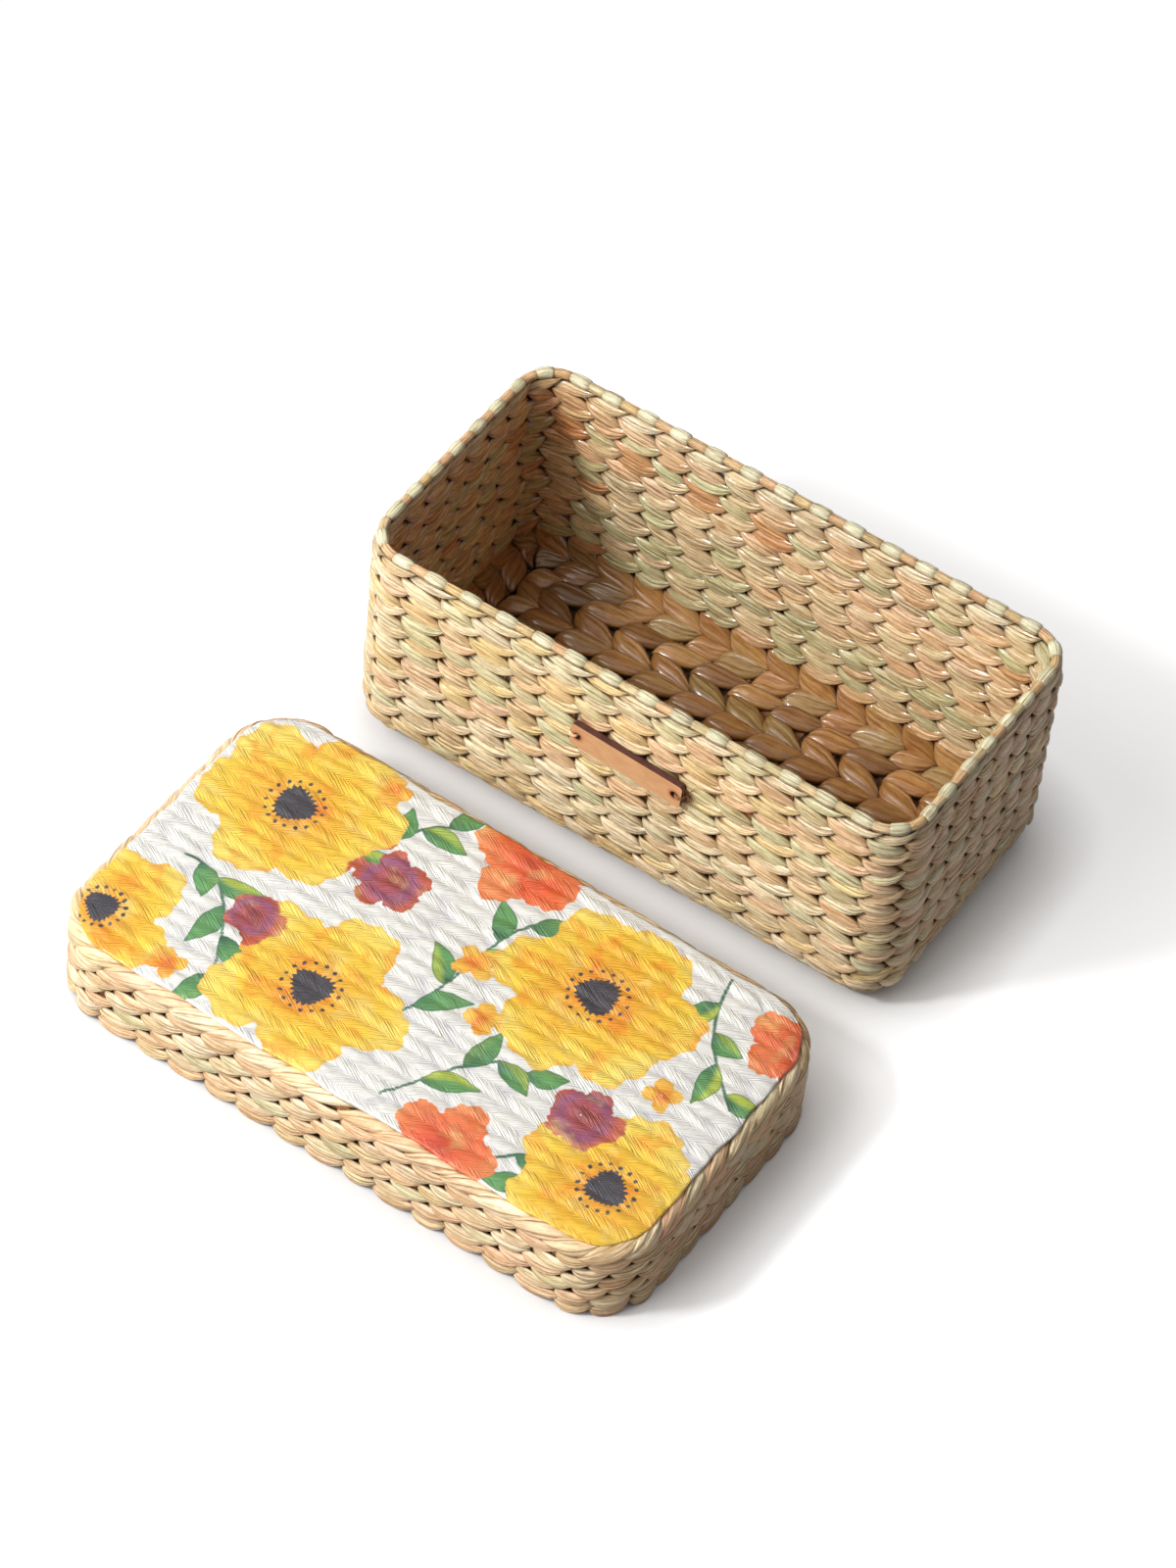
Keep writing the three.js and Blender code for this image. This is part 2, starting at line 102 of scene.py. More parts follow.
class NodeDesk:
    def __init__(self, name):
        self.material = bpy.data.materials.new(name)
        self.material.use_nodes = True
        self.tree = self.material.node_tree
        self.tree.nodes.clear()
        self.output = self.tree.nodes.new("ShaderNodeOutputMaterial")

    def add(self, kind, **values):
        node = self.tree.nodes.new(kind)
        for key, value in values.items():
            setattr(node, key, value)
        return node

    def wire(self, source, target):
        self.tree.links.new(source, target)

    def feed(self, socket, value):
        if isinstance(value, bpy.types.NodeSocket):
            self.wire(value, socket)
        else:
            socket.default_value = value

    def attribute(self, name, output="Fac"):
        return self.add("ShaderNodeAttribute", attribute_name=name).outputs[output]

    def split(self, vector):
        node = self.add("ShaderNodeSeparateXYZ")
        self.feed(node.inputs[0], vector)
        return node.outputs

    def join(self, x, y, z):
        node = self.add("ShaderNodeCombineXYZ")
        for socket, value in zip(node.inputs, (x, y, z)):
            self.feed(socket, value)
        return node.outputs[0]

    def math(self, operation, *values):
        node = self.add("ShaderNodeMath", operation=operation)
        for socket, value in zip(node.inputs, values):
            self.feed(socket, value)
        return node.outputs[0]

    # Places on the object in millimetres
    def millimetres(self):
        node = self.add("ShaderNodeVectorMath", operation="SCALE")
        self.wire(self.add("ShaderNodeTexCoord").outputs["Object"], node.inputs[0])
        node.inputs["Scale"].default_value = 1 / mm
        return node.outputs[0]

    def ramp(self, value, fromLow, fromHigh, toLow=0.0, toHigh=1.0):
        node = self.add("ShaderNodeMapRange", interpolation_type="SMOOTHSTEP")
        for socket, item in zip(node.inputs, (value, fromLow, fromHigh, toLow, toHigh)):
            self.feed(socket, item)
        return node.outputs[0]

    def noise(self, vector, scale, detail=2.0, roughness=0.5):
        node = self.add("ShaderNodeTexNoise")
        self.feed(node.inputs["Vector"], vector)
        node.inputs["Scale"].default_value = scale
        node.inputs["Detail"].default_value = detail
        node.inputs["Roughness"].default_value = roughness
        return node.outputs["Fac"]

    # A colour is three channels, and Blender's socket wants a fourth
    def mix(self, factor, first, second, blend="MIX"):
        node = self.add("ShaderNodeMix", data_type="RGBA", blend_type=blend)
        self.feed(node.inputs["Factor"], factor)
        for socket, value in ((node.inputs["A"], first), (node.inputs["B"], second)):
            if isinstance(value, tuple):
                value = (*value, 1.0)
            self.feed(socket, value)
        return node.outputs["Result"]

    # A tint multiplies the colour, and share says how much of it shows
    def tinted(self, share, colour, tint):
        return self.mix(share, colour, self.mix(1.0, colour, tint, "MULTIPLY"))

    def bump(self, height, distance):
        node = self.add("ShaderNodeBump")
        node.inputs["Strength"].default_value = 1.0
        node.inputs["Distance"].default_value = distance
        self.feed(node.inputs["Height"], height)
        return node.outputs[0]

    def principled(self, **values):
        node = self.add("ShaderNodeBsdfPrincipled")
        for key, value in values.items():
            self.feed(node.inputs[key], value)
        self.wire(node.outputs[0], self.output.inputs["Surface"])
        return node


# Reed finishes. A gain of 1 shows a strand's tint as it is, and a shade is the tone left there.

reedFinishes = {
    "pale reed": {
        "gain": 1.18, "stripTone": 0.08, "seamShade": 0.4, "lineShade": 0.3, "fibreDepth": 0.18,
        "edgeShade": 0.56, "tuckShade": 0.8, "roughness": 0.34, "bump": 0.0006,
        "coat": 0.3, "coatRoughness": 0.14,
    },
    "lid reed": {
        "gain": 0.98, "stripTone": 0.06, "seamShade": 0.4, "lineShade": 0.26, "fibreDepth": 0.14,
        "edgeShade": 0.46, "tuckShade": 1.0, "roughness": 0.38, "bump": 0.0004,
        "coat": 0.25, "coatRoughness": 0.25,
    },
    "inner reed": {
        "gain": 1.12, "stripTone": 0.08, "seamShade": 0.34, "lineShade": 0.28, "fibreDepth": 0.16,
        "edgeShade": 0.54, "tuckShade": 0.84, "roughness": 0.26, "bump": 0.0006,
        "coat": 0.8, "coatRoughness": 0.12,
    },
    "brown reed": {
        "gain": 0.86, "stripTone": 0.06, "seamShade": 0.12, "lineShade": 0.22, "fibreDepth": 0.14,
        "edgeShade": 0.2, "tuckShade": 0.92, "roughness": 0.3, "bump": 0.0004,
        "coat": 0.8, "coatRoughness": 0.12,
    },
}
# What all reed shares. Each noise has its scale, detail and roughness, and each range the values
# between which its effect comes in. Shade gathers in crevices, within the reach in millimetres.
reedGrain = {
    "seedSpread": 37.0, "alongShare": 0.05, "blotchShare": 0.4, "lineShare": 1.6,
    "fibre": (6.0, 3.0, 0.65), "line": (1.7, 1.0, 0.5), "blotch": (0.5, 2.0, 0.5),
    "fibreRange": (0.3, 0.7), "fibreLift": 0.4, "blotchRange": (0.3, 0.7), "blotchTones": (0.92, 1.05),
    "darkLine": (0.34, 0.46), "paleLine": (0.56, 0.66), "paleLift": 0.3, "stripLift": 0.5,
    "seamRange": (0.76, 1.0), "edgeRange": (0.86, 1.0), "tuckRange": (0.1, 0.9), "lowEdge": (-0.94, -1.0),
    "creviceReach": 3.4, "creviceSamples": 4, "creviceRange": (0.3, 0.85), "creviceShade": 0.42,
    "greener": (0.93, 1.0, 0.96), "greenerRange": (0.55, 0.95), "ruddier": (1.0, 0.94, 0.86),
    "ruddierRange": (0.45, 0.05), "hueShare": 0.6, "shadeTint": (1.0, 0.78, 0.54), "shadeRange": (0.96, 0.5),
    "glossRange": (0.2, 1.0), "dullest": 0.16, "glossiest": -0.1, "lineBump": 1.5, "specular": 0.3,
}


# A strand is a bundle of flat reed strips: each strip has its own tone and a dark seam, and
# fibres run along it. reedPlace holds millimetres along, strips across and a number of its own.
def reedTone(desk, finish, chance, along, across, shift):
    grain = reedGrain
    off = desk.math("ABSOLUTE", desk.math("MULTIPLY_ADD", desk.math("FRACT", across), 2.0, -1.0))
    slow = desk.math("MULTIPLY", along, grain["alongShare"])
    fibre = desk.noise(desk.join(slow, across, shift), *grain["fibre"])
    lineAcross = desk.math("MULTIPLY", across, grain["lineShare"])
    line = desk.noise(desk.join(slow, lineAcross, shift), *grain["line"])
    blotchAlong = desk.math("MULTIPLY", along, grain["blotchShare"])
    blotch = desk.noise(desk.join(blotchAlong, across, shift), *grain["blotch"])
    crevice = desk.add("ShaderNodeAmbientOcclusion", samples=grain["creviceSamples"])
    crevice.inputs["Distance"].default_value = grain["creviceReach"] * mm
    edge = desk.attribute("reedShadeMask")
    low, high = 1 - finish["stripTone"], 1 + grain["stripLift"] * finish["stripTone"]
    depth, lines = finish["fibreDepth"], finish["lineShade"]
    tone = desk.ramp(chance, 0.0, 1.0, finish["gain"] * low, finish["gain"] * high)
    for value, span, first, last in (
        (fibre, "fibreRange", 1 - depth, 1 + grain["fibreLift"] * depth),
        (blotch, "blotchRange", *grain["blotchTones"]),
        (line, "darkLine", 1 - lines, 1.0),
        # Pale lines: partly the reed's own paler fibres, partly a painted highlight along fibre ridges
        (line, "paleLine", 1.0, 1 + grain["paleLift"] * lines),
        (off, "seamRange", 1.0, 1 - finish["seamShade"]),
        # Painted shade: darker at a strand's ends and tucked edge, across its tucked side, in a thin line
        # along its other long edge, and in crevices found by ambient occlusion
        (edge, "edgeRange", 1.0, finish["edgeShade"]),
        (edge, "tuckRange", 1.0, finish["tuckShade"]),
        (edge, "lowEdge", 1.0, finish["edgeShade"]),
        (crevice.outputs["AO"], "creviceRange", grain["creviceShade"], 1.0),
    ):
        tone = desk.math("MULTIPLY", tone, desk.ramp(value, *grain[span], first, last))
    return tone, fibre, line


def reedMaterial(name, finish):
    desk, grain = NodeDesk(name), reedGrain
    along, across, seed = desk.split(desk.attribute("reedPlace", "Vector"))[:3]
    shift = desk.math("MULTIPLY", seed, grain["seedSpread"])
    dice = desk.add("ShaderNodeTexWhiteNoise", noise_dimensions="2D")
    desk.feed(dice.inputs["Vector"], desk.join(desk.math("FLOOR", across), shift, 0.0))
    chance, hue = dice.outputs["Value"], desk.split(dice.outputs["Color"])[1]
    tone, fibre, line = reedTone(desk, finish, chance, along, across, shift)
    tint = desk.attribute("reedTint", "Color")
    tint = desk.tinted(desk.ramp(hue, *grain["greenerRange"], 0.0, grain["hueShare"]), tint, grain["greener"])
    tint = desk.tinted(desk.ramp(hue, *grain["ruddierRange"], 0.0, grain["hueShare"]), tint, grain["ruddier"])
    colour = desk.mix(1.0, tint, desk.join(tone, tone, tone), "MULTIPLY")
    # Painted shade is warmed: the darker the tone, painted shade among it, the more orange the colour
    colour = desk.tinted(desk.ramp(tone, *grain["shadeRange"]), colour, grain["shadeTint"])
    gloss = (finish["roughness"] + grain["dullest"], finish["roughness"] + grain["glossiest"])
    shader = desk.principled(**{
        "Base Color": colour,
        "Roughness": desk.ramp(chance, *grain["glossRange"], *gloss),
        "Normal": desk.bump(desk.math("MULTIPLY_ADD", line, grain["lineBump"], fibre), finish["bump"]),
    })
    shader.inputs["Specular IOR Level"].default_value = grain["specular"]
    shader.inputs["Coat Weight"].default_value = finish["coat"]
    shader.inputs["Coat Roughness"].default_value = finish["coatRoughness"]
    return desk.material


reedMaterials = {name: reedMaterial(name, finish) for name, finish in reedFinishes.items()}
print("reed finishes made")

# Mesh helpers


def sharedMesh(name, parts):
    verts = np.concatenate([part["verts"] for part in parts]) * mm
    loops, sizes, offset = [], [], 0
    for part in parts:
        loops.append(part["loops"] + offset)
        sizes.append(part["sizes"])
        offset += len(part["verts"])
    loops, sizes = np.concatenate(loops), np.concatenate(sizes)
    mesh = bpy.data.meshes.new(name)
    mesh.vertices.add(len(verts))
    mesh.vertices.foreach_set("co", verts.astype(np.float32).ravel())
    mesh.loops.add(len(loops))
    mesh.loops.foreach_set("vertex_index", loops.astype(np.int32))
    mesh.polygons.add(len(sizes))
    mesh.polygons.foreach_set("loop_start", (np.cumsum(sizes) - sizes).astype(np.int32))
    mesh.polygons.foreach_set("loop_total", sizes.astype(np.int32))
    mesh.polygons.foreach_set("use_smooth", np.ones(len(sizes), dtype=bool))
    mesh.update(calc_edges=True)
    return mesh


def setVectors(mesh, name, values):
    layer = mesh.attributes.new(name, "FLOAT_VECTOR", "POINT")
    layer.data.foreach_set("vector", np.ascontiguousarray(values, dtype=np.float32).ravel())


def setColours(mesh, name, values):
    layer = mesh.attributes.new(name, "FLOAT_COLOR", "POINT")
    rgba = np.concatenate([values, np.ones((len(values), 1))], axis=1)
    layer.data.foreach_set("color", rgba.astype(np.float32).ravel())


def setNumbers(mesh, name, values):
    layer = mesh.attributes.new(name, "FLOAT", "POINT")
    layer.data.foreach_set("value", np.ascontiguousarray(values, dtype=np.float32))


def stack(x, y, z):
    return np.stack(np.broadcast_arrays(x, y, z), axis=-1)


# Faces of a closed tube: rings of points along it, and a cap at each end
def tubeFaces(steps, around):
    ring = np.arange(around)
    following = (ring + 1) % around
    quads = np.concatenate([
        np.stack([low + ring, low + following, low + around + following, low + around + ring], axis=1)
        for low in around * np.arange(steps)
    ])
    return quads, np.stack([ring[::-1], steps * around + ring])


# The same faces for every body of a row
def repeatedFaces(quads, caps, perBody, count):
    loops = np.concatenate([quads.ravel(), caps.ravel()])
    sizes = np.concatenate([np.full(len(quads), 4), np.full(2, caps.shape[1])])
    return (loops[None] + perBody * np.arange(count)[:, None]).ravel(), np.tile(sizes, count)


def addPiece(name, mesh, material, body, nodes):
    mesh.materials.append(material)
    piece = bpy.data.objects.new(name, mesh)
    bpy.context.scene.collection.objects.link(piece)
    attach(piece, body)
    if nodes:
        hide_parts(*nodes)


def reedPiece(name, parts, material, body, nodes):
    mesh = sharedMesh(name, parts)
    setColours(mesh, "reedTint", np.concatenate([part["tint"] for part in parts]))
    setVectors(mesh, "reedPlace", np.concatenate([part["place"] for part in parts]))
    setNumbers(mesh, "reedShadeMask", np.concatenate([part["edge"] for part in parts]))
    addPiece(name, mesh, reedMaterials[material], body, nodes)


# Paths round the walls


class Outline:
    # A rounded rectangle's outer face, run anticlockwise from the near side's left end
    def __init__(self, shape):
        self.halfX, self.halfY, self.radius = shape["halfX"], shape["halfY"], shape["radius"]
        self.longRun = 2 * (self.halfX - self.radius)
        self.shortRun = 2 * (self.halfY - self.radius)
        self.arcRun = self.radius * math.pi / 2
        runs = [self.longRun, self.arcRun, self.shortRun, self.arcRun] * 2
        self.ends = np.cumsum(runs)
        self.total = self.ends[-1]

    def at(self, s):
        s = np.mod(s, self.total)
        run = np.searchsorted(self.ends, s, side="right").clip(0, 7)
        begin = np.concatenate([[0], self.ends[:-1]])[run]
        quarter = run // 2
        isArc = run % 2 == 1
        facing = quarter * math.pi / 2 - math.pi / 2
        turn = facing + np.where(isArc, (s - begin) / self.radius, 0)
        normalX, normalY = np.cos(turn), np.sin(turn)
        runX, runY = -np.sin(facing), np.cos(facing)
        sideX, sideY = np.cos(facing), np.sin(facing)
        isLong = quarter % 2 == 0
        reach = np.where(isLong, self.halfX, self.halfY) - self.radius
        out = np.where(isLong, self.halfY, self.halfX) - self.radius
        ahead = np.where(isArc, reach, s - begin - reach)
        x = sideX * out + runX * ahead + self.radius * normalX
        y = sideY * out + runY * ahead + self.radius * normalY
        return x, y, normalX, normalY

    # Points set in from the outer face
    def inset(self, s, depth, z):
        x, y, normalX, normalY = self.at(s)
        return stack(x - normalX * depth, y - normalY * depth, z)

    # Where the stakes stand, as lengths along the outer face
    def columns(self, rows, perCorner):
        def side(begin, run, count, pitch):
            return begin + run / 2 + (np.arange(count) - (count - 1) / 2) * pitch
        begins = np.concatenate([[0], self.ends])
        places = []
        for half in (0, 4):
            places.append(side(begins[half], self.longRun, rows["longCount"], rows["longPitch"]))
            places.append(side(begins[half + 2], self.shortRun, rows["shortCount"], rows["shortPitch"]))
        filled = []
        for index, place in enumerate(places):
            following = places[(index + 1) % 4][0] + (self.total if index == 3 else 0)
            filled.append(place)
            gap = (following - place[-1]) / (perCorner + 1)
            filled.append(place[-1] + gap * np.arange(1, perCorner + 1))
        return np.sort(np.mod(np.concatenate(filled), self.total))


boxOutline = Outline(boxShape)
lidOutline = Outline(lidShape)
boxColumns = boxOutline.columns(stakeRows, stakeRows["boxCorner"])
lidColumns = lidOutline.columns(stakeRows, stakeRows["lidCorner"])


# Faces that rows of strands lie on. Each takes the length along, the height and the lift
# from the strand's seat, and gives points.

wallSeats = {
    "outerDepth": 2.7, "innerDepth": 4.05, "footRadius": 17.0, "wall": 6.5,
    "floorTop": 4.0, "floorUnder": 2.4,
}


# Down a box wall and round its foot, where the height falls by the bend's radius for each radian
def downWall(s, v, depth, bendRadius):
    foot = wallSeats["footRadius"]
    turn = np.clip((foot - v) / bendRadius, 0, None)
    inset = np.where(v >= foot, depth, foot - (foot - depth) * np.cos(turn))
    z = np.where(v >= foot, v, foot - (foot - depth) * np.sin(turn))
    return boxOutline.inset(s, inset, z)


def outerWall(s, v, lift):
    return downWall(s, v, wallSeats["outerDepth"] - lift, wallSeats["footRadius"])


def innerWall(s, v, lift):
    return downWall(-s, v, wallSeats["innerDepth"] + lift, wallSeats["footRadius"] - wallSeats["wall"])


def onLid(points):
    turn = math.radians(lidPlace["turn"])
    x = points[..., 0] * math.cos(turn) - points[..., 1] * math.sin(turn) + lidPlace["x"]
    y = points[..., 0] * math.sin(turn) + points[..., 1] * math.cos(turn) + lidPlace["y"]
    return stack(x, y, points[..., 2])


def outerLidWall(s, v, lift):
    return onLid(lidOutline.inset(s, wallSeats["outerDepth"] - lift, v))


def innerLidWall(s, v, lift):
    return onLid(lidOutline.inset(-s, wallSeats["innerDepth"] + lift, v))


def floorTop(s, v, lift):
    return stack(s, v, wallSeats["floorTop"] + lift)


def floorUnder(s, v, lift):
    return stack(s, v, wallSeats["floorUnder"] - lift)


# Strands

# How a strand runs from its start (0) to its tip (1). nearEdge and farEdge are shares of the
# row's height, seat is how high its middle lies, tilt raises its far edge over its near one,
# swell scales its thickness and reach is how far its tip passes the following start. Where one
# long edge tucks under a neighbour, tucked is -1 for the near edge and 1 for the far one. That
# edge and the side towards it get painted shade, with a thin painted shadow line along the other
# long edge. At 0 both long edges get painted shade alike.
plumpSwell = [(0, 0.4), (0.04, 0.7), (0.12, 0.92), (0.3, 1), (0.6, 0.95), (0.8, 0.75), (0.92, 0.5),
              (1, 0.15)]
flatSwell = [(0, 0.3), (0.05, 0.7), (0.15, 0.95), (0.3, 1), (0.6, 0.95), (0.8, 0.7), (0.92, 0.42),
             (1, 0.1)]
strandForms = {
    "outer falling": {
        "nearEdge": [(0, 0.02), (0.08, -0.08), (0.36, -0.06), (0.48, 0.05), (0.6, 0.22), (0.74, 0.5),
                     (0.86, 0.8), (1, 1.12)],
        "farEdge": [(0, 0.1), (0.05, 0.34), (0.1, 0.6), (0.16, 0.86), (0.24, 1.08), (0.36, 1.24),
                    (0.52, 1.32), (0.7, 1.34), (0.88, 1.28), (1, 1.2)],
        "seat": [(0, -0.4), (0.05, 0.1), (0.12, 0.45), (0.25, 0.5), (0.45, 0.3), (0.65, -0.1),
                 (0.8, -0.5), (1, -1.1)],
        "tilt": [(0, 0), (0.12, 0.15), (0.3, 0.2), (0.6, 0.1), (0.85, 0.2), (1, 0.2)],
        "swell": flatSwell, "edgeShare": 0.34, "tucked": -1, "reach": 6.4,
    },
    "outer rising": {
        "nearEdge": [(0, 0.32), (0.06, 0.14), (0.15, -0.02), (0.3, -0.12), (0.44, -0.14),
                     (0.56, -0.06), (0.65, 0.06), (0.73, 0.2), (0.82, 0.5), (0.91, 0.88), (1, 1.2)],
        "farEdge": [(0, 0.42), (0.06, 0.58), (0.15, 0.74), (0.3, 0.9), (0.5, 1.02), (0.7, 1.1),
                    (0.91, 1.2), (1, 1.24)],
        "seat": [(0, -1.9), (0.12, -1.3), (0.28, -0.5), (0.5, 0.05), (0.7, 0.6), (0.85, 1.0),
                 (0.95, 0.85), (1, 0.3)],
        "tilt": [(0, -0.2), (0.25, -0.6), (0.5, -0.5), (0.75, -0.2), (1, 0)],
        "swell": flatSwell, "edgeShare": 0.34, "tucked": 1, "reach": 7.4,
    },
    "inner falling": {
        "nearEdge": [(0, 0), (0.1, -0.08), (0.4, -0.1), (0.52, 0), (0.64, 0.16), (0.76, 0.42),
                     (0.88, 0.76), (1, 1.12)],
        "farEdge": [(0, 0.06), (0.06, 0.3), (0.12, 0.56), (0.2, 0.86), (0.28, 1.08), (0.4, 1.28),
                    (0.6, 1.38), (0.8, 1.34), (1, 1.2)],
        "seat": [(0, -0.4), (0.08, 0.2), (0.2, 0.5), (0.4, 0.35), (0.6, 0), (0.8, -0.5), (1, -1.1)],
        "tilt": [(0, 0), (0.15, 0.25), (0.4, 0.35), (0.8, 0.3), (1, 0.2)],
        "swell": flatSwell, "edgeShare": 0.32, "tucked": -1, "reach": 6.6,
    },
    "inner rising": {
        "nearEdge": [(0, 0.3), (0.08, 0.06), (0.2, -0.18), (0.36, -0.32), (0.5, -0.3), (0.62, -0.18),
                     (0.73, 0.04), (0.83, 0.38), (0.92, 0.78), (1, 1.14)],
        "farEdge": [(0, 0.4), (0.06, 0.56), (0.15, 0.72), (0.3, 0.88), (0.5, 1.0), (0.7, 1.1),
                    (0.9, 1.2), (1, 1.2)],
        "seat": [(0, -1.9), (0.12, -1.2), (0.28, -0.4), (0.5, 0.15), (0.7, 0.6), (0.85, 0.95),
                 (0.95, 0.75), (1, 0.2)],
        "tilt": [(0, -0.2), (0.3, -0.65), (0.55, -0.5), (0.75, -0.2), (1, 0)],
        "swell": flatSwell, "edgeShare": 0.32, "tucked": 1, "reach": 7.0,
    },
    "floor": {
        "nearEdge": [(0, -0.04), (0.06, -0.12), (0.35, -0.15), (0.5, -0.06), (0.62, 0.1), (0.75, 0.34),
                     (0.88, 0.64), (1, 0.98)],
        "farEdge": [(0, 0.14), (0.03, 0.38), (0.08, 0.68), (0.14, 0.92), (0.24, 1.1), (0.4, 1.2),
                    (0.75, 1.2), (1, 1.1)],
        "seat": [(0, -1.0), (0.05, 0), (0.12, 0.45), (0.3, 0.35), (0.55, 0), (0.7, -0.3), (0.88, -0.8),
                 (1, -1.2)],
        "tilt": [(0, 0), (0.4, -0.2), (0.65, 0), (0.85, 0.4), (1, 0.7)],
        "swell": plumpSwell, "edgeShare": 0.12, "tucked": 0, "reach": 7.0,
    },
    "lid side": {
        "nearEdge": [(0, 0.55), (0.06, 0.3), (0.15, 0.05), (0.28, -0.13), (0.4, -0.17), (0.52, -0.1),
                     (0.64, 0.06), (0.76, 0.28), (0.88, 0.58), (1, 0.95)],
        "farEdge": [(0, 0.65), (0.08, 0.82), (0.2, 0.94), (0.4, 1.0), (0.6, 1.06), (0.75, 1.18),
                    (0.9, 1.28), (1, 1.1)],
        "seat": [(0, -1.1), (0.08, -0.4), (0.2, 0.1), (0.4, 0.3), (0.65, 0.4), (0.82, 0.35), (0.93, 0),
                 (1, -0.6)],
        "tilt": [(0, -0.3), (0.3, -0.5), (0.7, -0.4), (0.9, -0.1), (1, 0.2)],
        "swell": plumpSwell, "edgeShare": 0.24, "tucked": 0, "reach": 4.0,
    },
    "shoulder": {
        "nearEdge": [(0, 0), (0.2, -0.02), (0.4, 0.06), (0.6, 0.24), (0.8, 0.5), (1, 0.9)],
        "farEdge": [(0, 0.1), (0.1, 0.36), (0.25, 0.66), (0.4, 0.86), (0.6, 1.0), (0.8, 1.04),
                    (1, 1.02)],
        "seat": [(0, -1.0), (0.08, -0.2), (0.2, 0.2), (0.6, 0.1), (0.85, -0.3), (1, -1.0)],
        "tilt": [(0, 0), (0.5, -0.3), (1, 0.2)],
        "swell": plumpSwell, "edgeShare": 0.24, "tucked": 0, "reach": 0,
    },
}
# Across, a strand is a few strips that lap like slates
strandSection = {
    "domePower": 2.8, "domeRoot": 0.56, "lap": 0.34, "bulge": 0.16,
    "stripPoints": (0.03, 0.3, 0.65, 0.97), "stripJitter": 0.1, "jitterLimit": 0.25,
    "bottom": -0.3, "bottomShare": 0.6, "stepShare": 0.6, "sway": 0.04, "widthSway": 0.05,
    "domeSway": 0.08, "domeShift": 3, "endPower": 3,
}


def curve(table, share):
    return np.interp(share, [point[0] for point in table], [point[1] for point in table])


# Where the points across each strand lie (-1 to 1), how far they stand out and their strip
def stripSection(count, strips, rng):
    section = strandSection
    bounds = np.linspace(-1, 1, strips + 1) + np.zeros((count, 1))
    limit = section["jitterLimit"]
    bounds[:, 1:-1] += rng.normal(0, section["stripJitter"], (count, strips - 1)).clip(-limit, limit)
    lean = rng.choice([-1, 1], count)[:, None]
    side, lap, strip = [np.full((count, 1), -1.0)], [np.zeros((count, 1))], [-0.1]
    for index in range(strips):
        low, high = bounds[:, index:index + 1], bounds[:, index + 1:index + 2]
        for share in section["stripPoints"]:
            side.append(low + (high - low) * share)
            slope = np.where(lean > 0, 1 - share, share)
            lap.append(section["lap"] * slope + section["bulge"] * 4 * share * (1 - share))
            strip.append(index + share)
    side += [np.full((count, 1), value) for value in (1, section["bottomShare"], -section["bottomShare"])]
    lap += [np.zeros((count, 1))] * 3
    strip += [strips + 0.1] * 3
    return np.concatenate(side, axis=1), np.concatenate(lap, axis=1), np.array(strip)


# Many strands of one row at once, each a closed body
def strandBodies(face, starts, tips, nearLevel, farLevel, form, swell, tints, seeds, steps=12, strips=3):
    count = len(starts)
    section = strandSection
    rng = np.random.default_rng(int(seeds[0] * 1e6))
    t = np.linspace(0, 1, steps + 1)
    even = section["stepShare"]
    share = even * t + (1 - even) / 2 * (1 - np.cos(math.pi * t))
    side, lap, strip = stripSection(count, strips, rng)
    around = side.shape[1]
    isTop = np.arange(around) < around - 2
    near, far, seat, tilt, rise = (
        curve(form[key], share)[None, :, None] for key in ("nearEdge", "farEdge", "seat", "tilt", "swell"))
    along, side, lap = share[None, :, None], side[:, None, :], lap[:, None, :]
    wobble = rng.normal(0, 1, (3, count, 1, 1))
    middle = (near + far) / 2 + section["sway"] * wobble[0] * np.sin(math.pi * along)
    halfWidth = (far - near) / 2 * (1 + section["widthSway"] * wobble[1])
    q = middle + halfWidth * side
    s = starts[:, None, None] + (tips - starts)[:, None, None] * along + 0 * q
    v = nearLevel[:, None, None] + (farLevel - nearLevel)[:, None, None] * q
    dome = np.power(np.clip(1 - np.abs(side) ** section["domePower"], 0, 1), section["domeRoot"])
    wave = np.sin(2 * math.pi * along + section["domeShift"] * wobble[0])
    dome = dome + section["domeSway"] * wobble[2] * wave * (1 - np.abs(side))
    top = rise * (swell[:, None, None] * (form["edgeShare"] + (1 - form["edgeShare"]) * dome) + lap)
    lift = seat + tilt * side + np.where(isTop, top, section["bottom"])
    points = face(s, v, lift)
    perBody = (steps + 1) * around
    quads, caps = tubeFaces(steps, around)
    body = points[0].reshape(-1, 3)
    corners = body[quads] - body.mean(axis=0)
    volume = np.einsum("ij,ij->i", corners[:, 0], np.cross(corners[:, 1], corners[:, 2])).sum()
    volume += np.einsum("ij,ij->i", corners[:, 0], np.cross(corners[:, 2], corners[:, 3])).sum()
    if volume < 0:
        quads, caps = quads[:, ::-1], caps[:, ::-1]
    loops, sizes = repeatedFaces(quads, caps, perBody, count)
    length = np.abs(tips - starts)[:, None, None]
    place = stack(along * length, strip[None, None, :], seeds[:, None, None] + 0 * q)
    # Painted shade: this edge value darkens the strand's ends, its tucked long edge, more lightly the side
    # towards that edge, a thin line along its other long edge, and its underside
    ends = np.abs(2 * along - 1) ** section["endPower"]
    under = form["tucked"] * side if form["tucked"] else np.abs(side)
    edge = np.where(isTop, np.where(ends > np.abs(under), ends, under), 1.0)
    return {
        "verts": points.reshape(-1, 3), "loops": loops, "sizes": sizes,
        "tint": np.repeat(tints, perBody, axis=0), "place": place.reshape(-1, 3),
        "edge": (edge + 0 * q).reshape(-1),
    }


